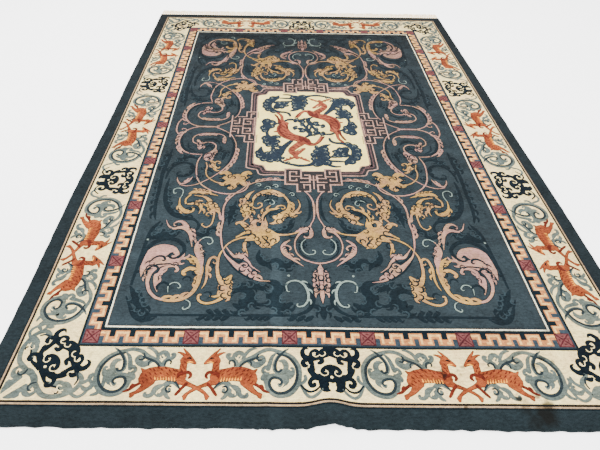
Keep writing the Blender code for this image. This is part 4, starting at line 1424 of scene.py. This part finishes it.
def hooked_motif(legs):
    """A hooked motif, with the legs that it has on the sides or the curls that it has in the corners."""
    motif = Drawing(wider=SCROLL_WIDER, layers=SCROLL_LAYERS)
    for side in (-1, 1):
        def line(yarn, points, hook=None):
            motif.line(yarn, [(side * x, y, width) for x, y, width in points],
                       hook=hook and (hook[0], side * hook[1]))

        line("navy", [(88, 52, 20), (107, 60, 20), (113, 75, 18), (110, 90, 15), (100, 97, 10), (88, 94, 4)])
        line("navy", [(86, 48, 14), (105, 42, 18), (111, 30, 20), (104, 19, 18), (96, 18, 10)])
        line("navy", [(82, 48, 16), (79, 66, 16), (71, 81, 16), (58, 87, 15), (49, 79, 14), (53, 70, 12)])
        line("navy", [(0, 90, 24), (16, 92, 18), (31, 86, 16), (38, 75, 15), (33, 66, 13), (27, 69, 12)])
        line("navy", [(84, 47, 22), (58, 53, 22), (30, 62, 24), (0, 82, 36)])
        line("navy", [(84, 50, 24), (77, 24, 18), (80, 2, 28), (74, -18, 20), (62, -32, 24), (40, -37, 28),
            (0, -40, 40)])
        line("navy", [(44, 52, 16), (34, 44, 18), (36, 32, 18), (48, 28, 12)])
        line("navy", [(0, 0, 34), (14, 4, 26), (28, 0, 18), (36, -10, 16), (30, -20, 13), (22, -18, 10)])
        line("navy", [(62, -34, 18), (80, -40, 16), (88, -54, 16), (80, -68, 16), (70, -68, 14),
            (70, -62, 12)])
        line("cream", [(101, 31, 2.5), (92, 27, 3.5), (87, 18, 3.5), (91, 9, 2.5)])
        line("cream", [(45, 64, 2.5), (57, 57, 3.5), (68, 64, 3.5), (69, 74, 3.5), (62, 77, 2.5)])
        line("cream", [(43, 67, 2.5), (32, 60, 3.5), (20, 66, 3.5), (18, 75, 3.5), (22, 80, 2.5)])
        line("cream", [(42, -22, 2.5), (29, -31, 3.5), (15, -25, 3.5), (15, -13, 3.5), (22, -6, 2.5)])
        if legs:
            line("navy", [(34, -38, 34), (33, -60, 34), (30, -84, 30), (20, -94, 18), (13, -96, 8)])
            line("navy", [(44, -70, 6), (64, -88, 8), (82, -92, 8), (100, -86, 8), (122, -63, 6)])
        else:
            line("navy", [(10, -52, 26), (34, -60, 17), (58, -66, 10), (84, -60, 8), (112, -44, 7),
                (128, -42, 7), (134, -54, 6)], hook=(9, -120))
    motif.line("navy", [(0, 104, 3), (0, 98, 12), (0, 86, 18)])
    motif.line("navy", [(0, 4, 30), (0, -20, 24), (0, -44, 30)])
    motif.dot("cream", 0, -38, 12, layer=3)
    return motif


# Along the rug the motifs stand a little nearer to its middle than the deer do
HOOK_INSET, CORNER_REACH = 0.993, 46
hook_places = [(x, y * HOOK_INSET, turn, False) for x, y, turn in around((-9,), (-582, 566))]
add_pattern("hooked", hooked_motif(legs=True), hook_places, SCROLL_YARNS)
corner_hooks = [
    (side * (SIDE_MIDDLE - CORNER_REACH), end * (END_MIDDLE - CORNER_REACH),
     {(-1, -1): -45, (1, -1): 45, (-1, 1): -135, (1, 1): 135}[side, end], False)
    for side in (-1, 1) for end in (-1, 1)
]
add_pattern("corner_hooked", hooked_motif(legs=False), corner_hooks, SCROLL_YARNS)

# Deer
# Leaping deer in rust pile, in pairs that face each other with their forelegs crossed, shaded with wine
# and picked out with a paler belly fringe. One deer is drawn and turned over for its fellow.
DEER_YARNS = {
    "rust": wool("rust wool", (146, 74, 40), second=(122, 56, 34), share=0.7, mottle=0.22),
    "wine": wool("dark rust wool", (92, 34, 22), mottle=0.16),
    "apricot": wool("apricot wool", (246, 160, 50), mottle=0.06),
    "eye": wool("eye wool", (26, 18, 18)),
}


def leaping_deer():
    """The right one of two deer, measured from the middle between them."""
    deer = Drawing(layers={"rust": 2, "wine": 3, "apricot": 3, "eye": 4})
    rust, wine, apricot, eye = (partial(deer.line, yarn) for yarn in ("rust", "wine", "apricot", "eye"))
    rust([(19, 40, 9), (30, 48, 18), (44, 58, 28), (58, 62, 33), (67, 50, 30)])
    rust([(46, 72, 12), (60, 88, 9), (70, 99, 5), (75, 106, 2)])
    rust([(60, 72, 12), (76, 82, 10), (90, 88, 4), (97, 88, 2)])
    rust([(62, 60, 28), (65, 35, 26), (64, 8, 28), (64, -14, 34)])
    rust([(58, -18, 26), (76, -12, 48), (100, -9, 50), (146, -3, 58), (180, -8, 60), (204, -16, 56),
        (212, -28, 42)])
    rust([(206, 4, 18), (220, 6, 12), (230, 16, 2)])
    rust([(188, -34, 46), (204, -58, 28), (222, -78, 15), (240, -86, 12), (250, -90, 9)])
    rust([(236, -84, 10), (244, -94, 14), (248, -100, 8)])
    wine([(206, -36, 18), (228, -48, 13), (246, -60, 14), (262, -74, 12), (279, -80, 7)], layer=2)
    wine([(240, -56, 10), (250, -52, 12), (256, -62, 10)], layer=2)
    rust([(66, -34, 32), (40, -46, 17), (10, -58, 12), (-20, -74, 11), (-42, -92, 9)])
    rust([(-36, -88, 10), (-44, -98, 17), (-42, -107, 8)])
    wine([(42, -46, 14), (56, -62, 12), (68, -78, 13), (77, -90, 10)])
    wine([(64, -6, 14), (48, 2, 15), (34, -2, 14), (30, -14, 13), (36, -22, 8)])
    wine([(66, 4, 10), (76, -8, 20), (80, -20, 8)])
    for x, y, size in (
        # dark tufts that dapple the back, the flank and the neck
        (86, 6, 8), (100, 10, 9), (116, 8, 8), (132, 18, 9), (148, 12, 8), (162, 20, 9), (178, 10, 9),
        (194, 12, 8),
        (94, -8, 7), (122, -6, 7), (150, -4, 7), (170, -6, 8), (190, -8, 8), (206, -14, 9), (200, -30, 8),
        (184, -26, 7),
        (62, 44, 7), (68, 30, 7), (60, 18, 6), (70, 12, 7), (64, 0, 7), (212, -40, 8),
    ):
        wine([(x - size * 0.8, y - size * 0.5, 2), (x, y, size * 0.8), (x + size * 0.5, y + size * 0.8, 2)])
    for index in range(8):
        x = 90 + index * 11
        apricot([(x, -34 + index * 0.8, 7), (x + 1, -28 + index * 0.5, 5), (x + 3, -20 + index % 2 * 4, 1)])
    apricot([(30, 44, 4), (42, 46, 7), (52, 42, 4)])
    eye([(36, 58, 3), (44, 63, 8), (54, 62, 3)])
    return deer


deer = leaping_deer()
add_outline("deer_outline_pile", deer, link_places, ("rust",), 1.8, DEER_YARNS["wine"])
add_pattern("deer", deer, link_places, DEER_YARNS)

# Fringe
# The ends of the cotton warp: past the pile they are woven flat for a finger's breadth, and then hang
# out as loose locks, a little tangled and uneven, that lie on the floor at the far end.
STRIP_DEPTH, STRIP_HEIGHT, STRIP_CLEARANCE = 0.022, 0.0045, 0.0002
LOCK_COUNT, YARNS_IN_LOCK = 150, 5
LOCK_LENGTH, LOCK_UNEVEN, LOCK_SWAY = 0.112, 0.16, 0.006
YARN_RADIUS = 0.0013
# Share of the yarn's length, its height off the floor, and how far it has spread within its lock
YARN_STATIONS = (
    (-0.10, 0.0030, 0.3), (0.0, 0.0034, 0.5), (0.22, 0.0030, 0.8), (0.45, 0.0022, 1.0),
    (0.66, 0.0018, 1.1), (0.84, 0.0016, 1.15), (1.0, 0.0014, 1.1),
)
FRINGE_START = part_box("fringe")[0][1]


def cotton(name, colour, ridges):
    """Undyed cotton: matt, a little soiled, with the ridges of its twist or weave."""
    group, given, out = new_group(
        name + " threads", {"Yarn": MID_GREY}, {"Color": "NodeSocketColor", "Height": "NodeSocketFloat"}
    )
    soiled = spotted(group, 26.0, 4.0, 0.78, 1.06, seed=2.0)
    threads = spotted(group, ridges, 2.0, 0.0, 1.0, squeeze=(1.0, 0.25, 1.0), seed=4.0)
    tone = arithmetic(group, "ADD", arithmetic(group, "MULTIPLY", threads, 0.2), 0.9)
    put_out(group, out, given.outputs["Yarn"], arithmetic(group, "MULTIPLY", tone, soiled), threads)

    material, tree, shader = new_material(name, roughness=0.9, specular=0.1)
    yarn = add_group(tree, group, Yarn=dye(*colour))
    tree.links.new(yarn.outputs["Color"], shader.inputs["Base Color"])
    add_relief(tree, shader, yarn.outputs["Height"], strength=0.6, depth=0.0006)
    return material


def add_cotton(name, mesh, material):
    """A piece of the fringe, laid out flat past the cloth's far end."""
    piece = linked(name, mesh)
    piece.data.materials.append(material)
    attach(piece, "root")
    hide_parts("fringe")


def woven_strip():
    """The flat-woven strip, low and rounded over, its picks showing as shallow ribs across it."""
    bm = bmesh.new()
    columns, rows = 300, 8
    grid = bmesh.ops.create_grid(bm, x_segments=columns, y_segments=rows, size=0.5)
    for vert in grid["verts"]:
        along = vert.co.y + 0.5
        row = round(along * rows)
        wave = noise.noise(Vector((14 * vert.co.x * WIDTH, 0.0, 3.0)))
        rise = math.sin(math.pi * min(1.0, 0.12 + 0.88 * along)) ** 0.4 if row < rows else 0.3
        vert.co = (
            vert.co.x * (WIDTH - 0.004), FRINGE_START + along * STRIP_DEPTH * (1 + 0.06 * wave * along),
            STRIP_HEIGHT * (0.8 * rise + 0.12 * (row % 2) + 0.06 * wave)
        )
    rim = [edge for edge in bm.edges if len(edge.link_faces) == 1]
    for vert in only_verts(bmesh.ops.extrude_edge_only(bm, edges=rim)["geom"]):
        vert.co.z = STRIP_CLEARANCE
    foot = [edge for edge in bm.edges if len(edge.link_faces) == 1]
    bmesh.ops.holes_fill(bm, edges=foot, sides=0)
    bmesh.ops.recalc_face_normals(bm, faces=bm.faces[:])
    return smooth_mesh("fringe_woven_strip", bm)


def loose_locks():
    """All the locks: a few thin yarns each, that spread and sway as they lie on the floor."""
    curve = bpy.data.curves.new("fringe_yarns", "CURVE")
    curve.dimensions = "3D"
    curve.bevel_depth = YARN_RADIUS
    curve.bevel_resolution = 0
    curve.use_fill_caps = True
    pitch = WIDTH / LOCK_COUNT
    root_y = FRINGE_START + STRIP_DEPTH
    for index in range(LOCK_COUNT):
        middle = -WIDTH / 2 + (index + 0.5) * pitch
        uneven = (math.sin(1.9 * index) + math.sin(0.57 * index + 1.0)) / 2
        length = LOCK_LENGTH * (1.0 - LOCK_UNEVEN * (1.0 - uneven) / 2)
        sway = LOCK_SWAY * math.sin(0.31 * index + 0.6) + LOCK_SWAY / 4 * math.sin(2.3 * index)
        for strand in range(YARNS_IN_LOCK):
            side = (strand + 0.5) / YARNS_IN_LOCK - 0.5
            stray = noise.noise_vector(Vector((index * 1.7, strand * 2.3, 0.4)))
            spline = curve.splines.new("POLY")
            spline.points.add(len(YARN_STATIONS) - 1)
            for point, (along, height, spread) in zip(spline.points, YARN_STATIONS):
                far = max(0.0, along)
                x = middle + sway * far ** 1.5 + side * pitch * 0.92 * spread + 0.010 * stray.x * far ** 2
                x += 0.0016 * math.sin(9 * far + index + 2 * strand)
                y = root_y + (length * (1 - 0.22 * abs(stray.y))) * along
                half = WIDTH / 2 - YARN_RADIUS
                point.co = (max(-half, min(half, x)), y, height + 0.0012 * (strand % 2) * (1 - far), 1.0)
                point.radius = 1.0 if along < 1.0 else 0.55
    holder = linked("fringe_yarns_curve", curve)
    mesh = bpy.data.meshes.new_from_object(holder.evaluated_get(bpy.context.evaluated_depsgraph_get()))
    bpy.data.objects.remove(holder, do_unlink=True)
    mesh.name = "fringe_locks"
    mesh.shade_smooth()
    return mesh


add_cotton("fringe_woven_strip", woven_strip(), cotton("woven cotton", (240, 212, 150), 420.0))
add_cotton("fringe_locks", loose_locks(), cotton("cotton locks", (250, 222, 160), 300.0))

# Room
# A plain pale studio floor under soft light from above, with the camera standing over the near end, as
# high and as far back as the photo's camera was found to be.
FLOOR_SIZE, FLOOR_TONE, FLOOR_GLOW = 40.0, (252, 252, 252), 2.4
bm = bmesh.new()
bmesh.ops.create_grid(bm, x_segments=1, y_segments=1, size=FLOOR_SIZE / 2)
floor_mesh = bpy.data.meshes.new("studio_floor")
bm.to_mesh(floor_mesh)
bm.free()
floor = linked("studio_floor", floor_mesh)
floor_paint, _, floor_shader = new_material("pale floor", roughness=0.9, specular=0.1)
floor_shader.inputs["Base Color"].default_value = dye(*FLOOR_TONE)
floor_shader.inputs["Emission Color"].default_value = dye(*FLOOR_TONE)
floor_shader.inputs["Emission Strength"].default_value = FLOOR_GLOW
floor.data.materials.append(floor_paint)

SKY_STRENGTH = 1.75
world = bpy.data.worlds.new("studio")
bpy.context.scene.world = world
world.use_nodes = True
sky = world.node_tree.nodes["Background"]
sky.inputs["Color"].default_value = (1.0, 1.0, 1.0, 1.0)
sky.inputs["Strength"].default_value = SKY_STRENGTH

LAMP_SIDE, LAMP_POWER, LAMP_PLACE = 5.0, 410, Vector((-0.6, 0.8, 4.2))
softbox = bpy.data.lights.new("ceiling_softbox", "AREA")
softbox.shape = "RECTANGLE"
softbox.size, softbox.size_y = LAMP_SIDE, LAMP_SIDE
softbox.energy = LAMP_POWER
lamp = linked("ceiling_softbox", softbox)
lamp.location = LAMP_PLACE
lamp.rotation_euler = LAMP_PLACE.to_track_quat("Z", "Y").to_euler()

# The photo's focal length and width, in pixels, and the camera's place from the rug's middle
FOCUS, PHOTO_WIDTH, SENSOR = 445.4, 600, 36.0
CAMERA_X, CAMERA_BACK, CAMERA_HEIGHT = -0.2057, 2.5823, 1.6767
CAMERA_TURN = (44.665, -1.504, -1.824)
lens = bpy.data.cameras.new("photo_camera")
lens.sensor_width = SENSOR
lens.lens = SENSOR * FOCUS / PHOTO_WIDTH
camera = linked("photo_camera", lens)
camera.location = (CAMERA_X, CENTRE_Y - CAMERA_BACK, FACE + CAMERA_HEIGHT)
camera.rotation_euler = tuple(math.radians(angle) for angle in CAMERA_TURN)
bpy.context.scene.camera = camera
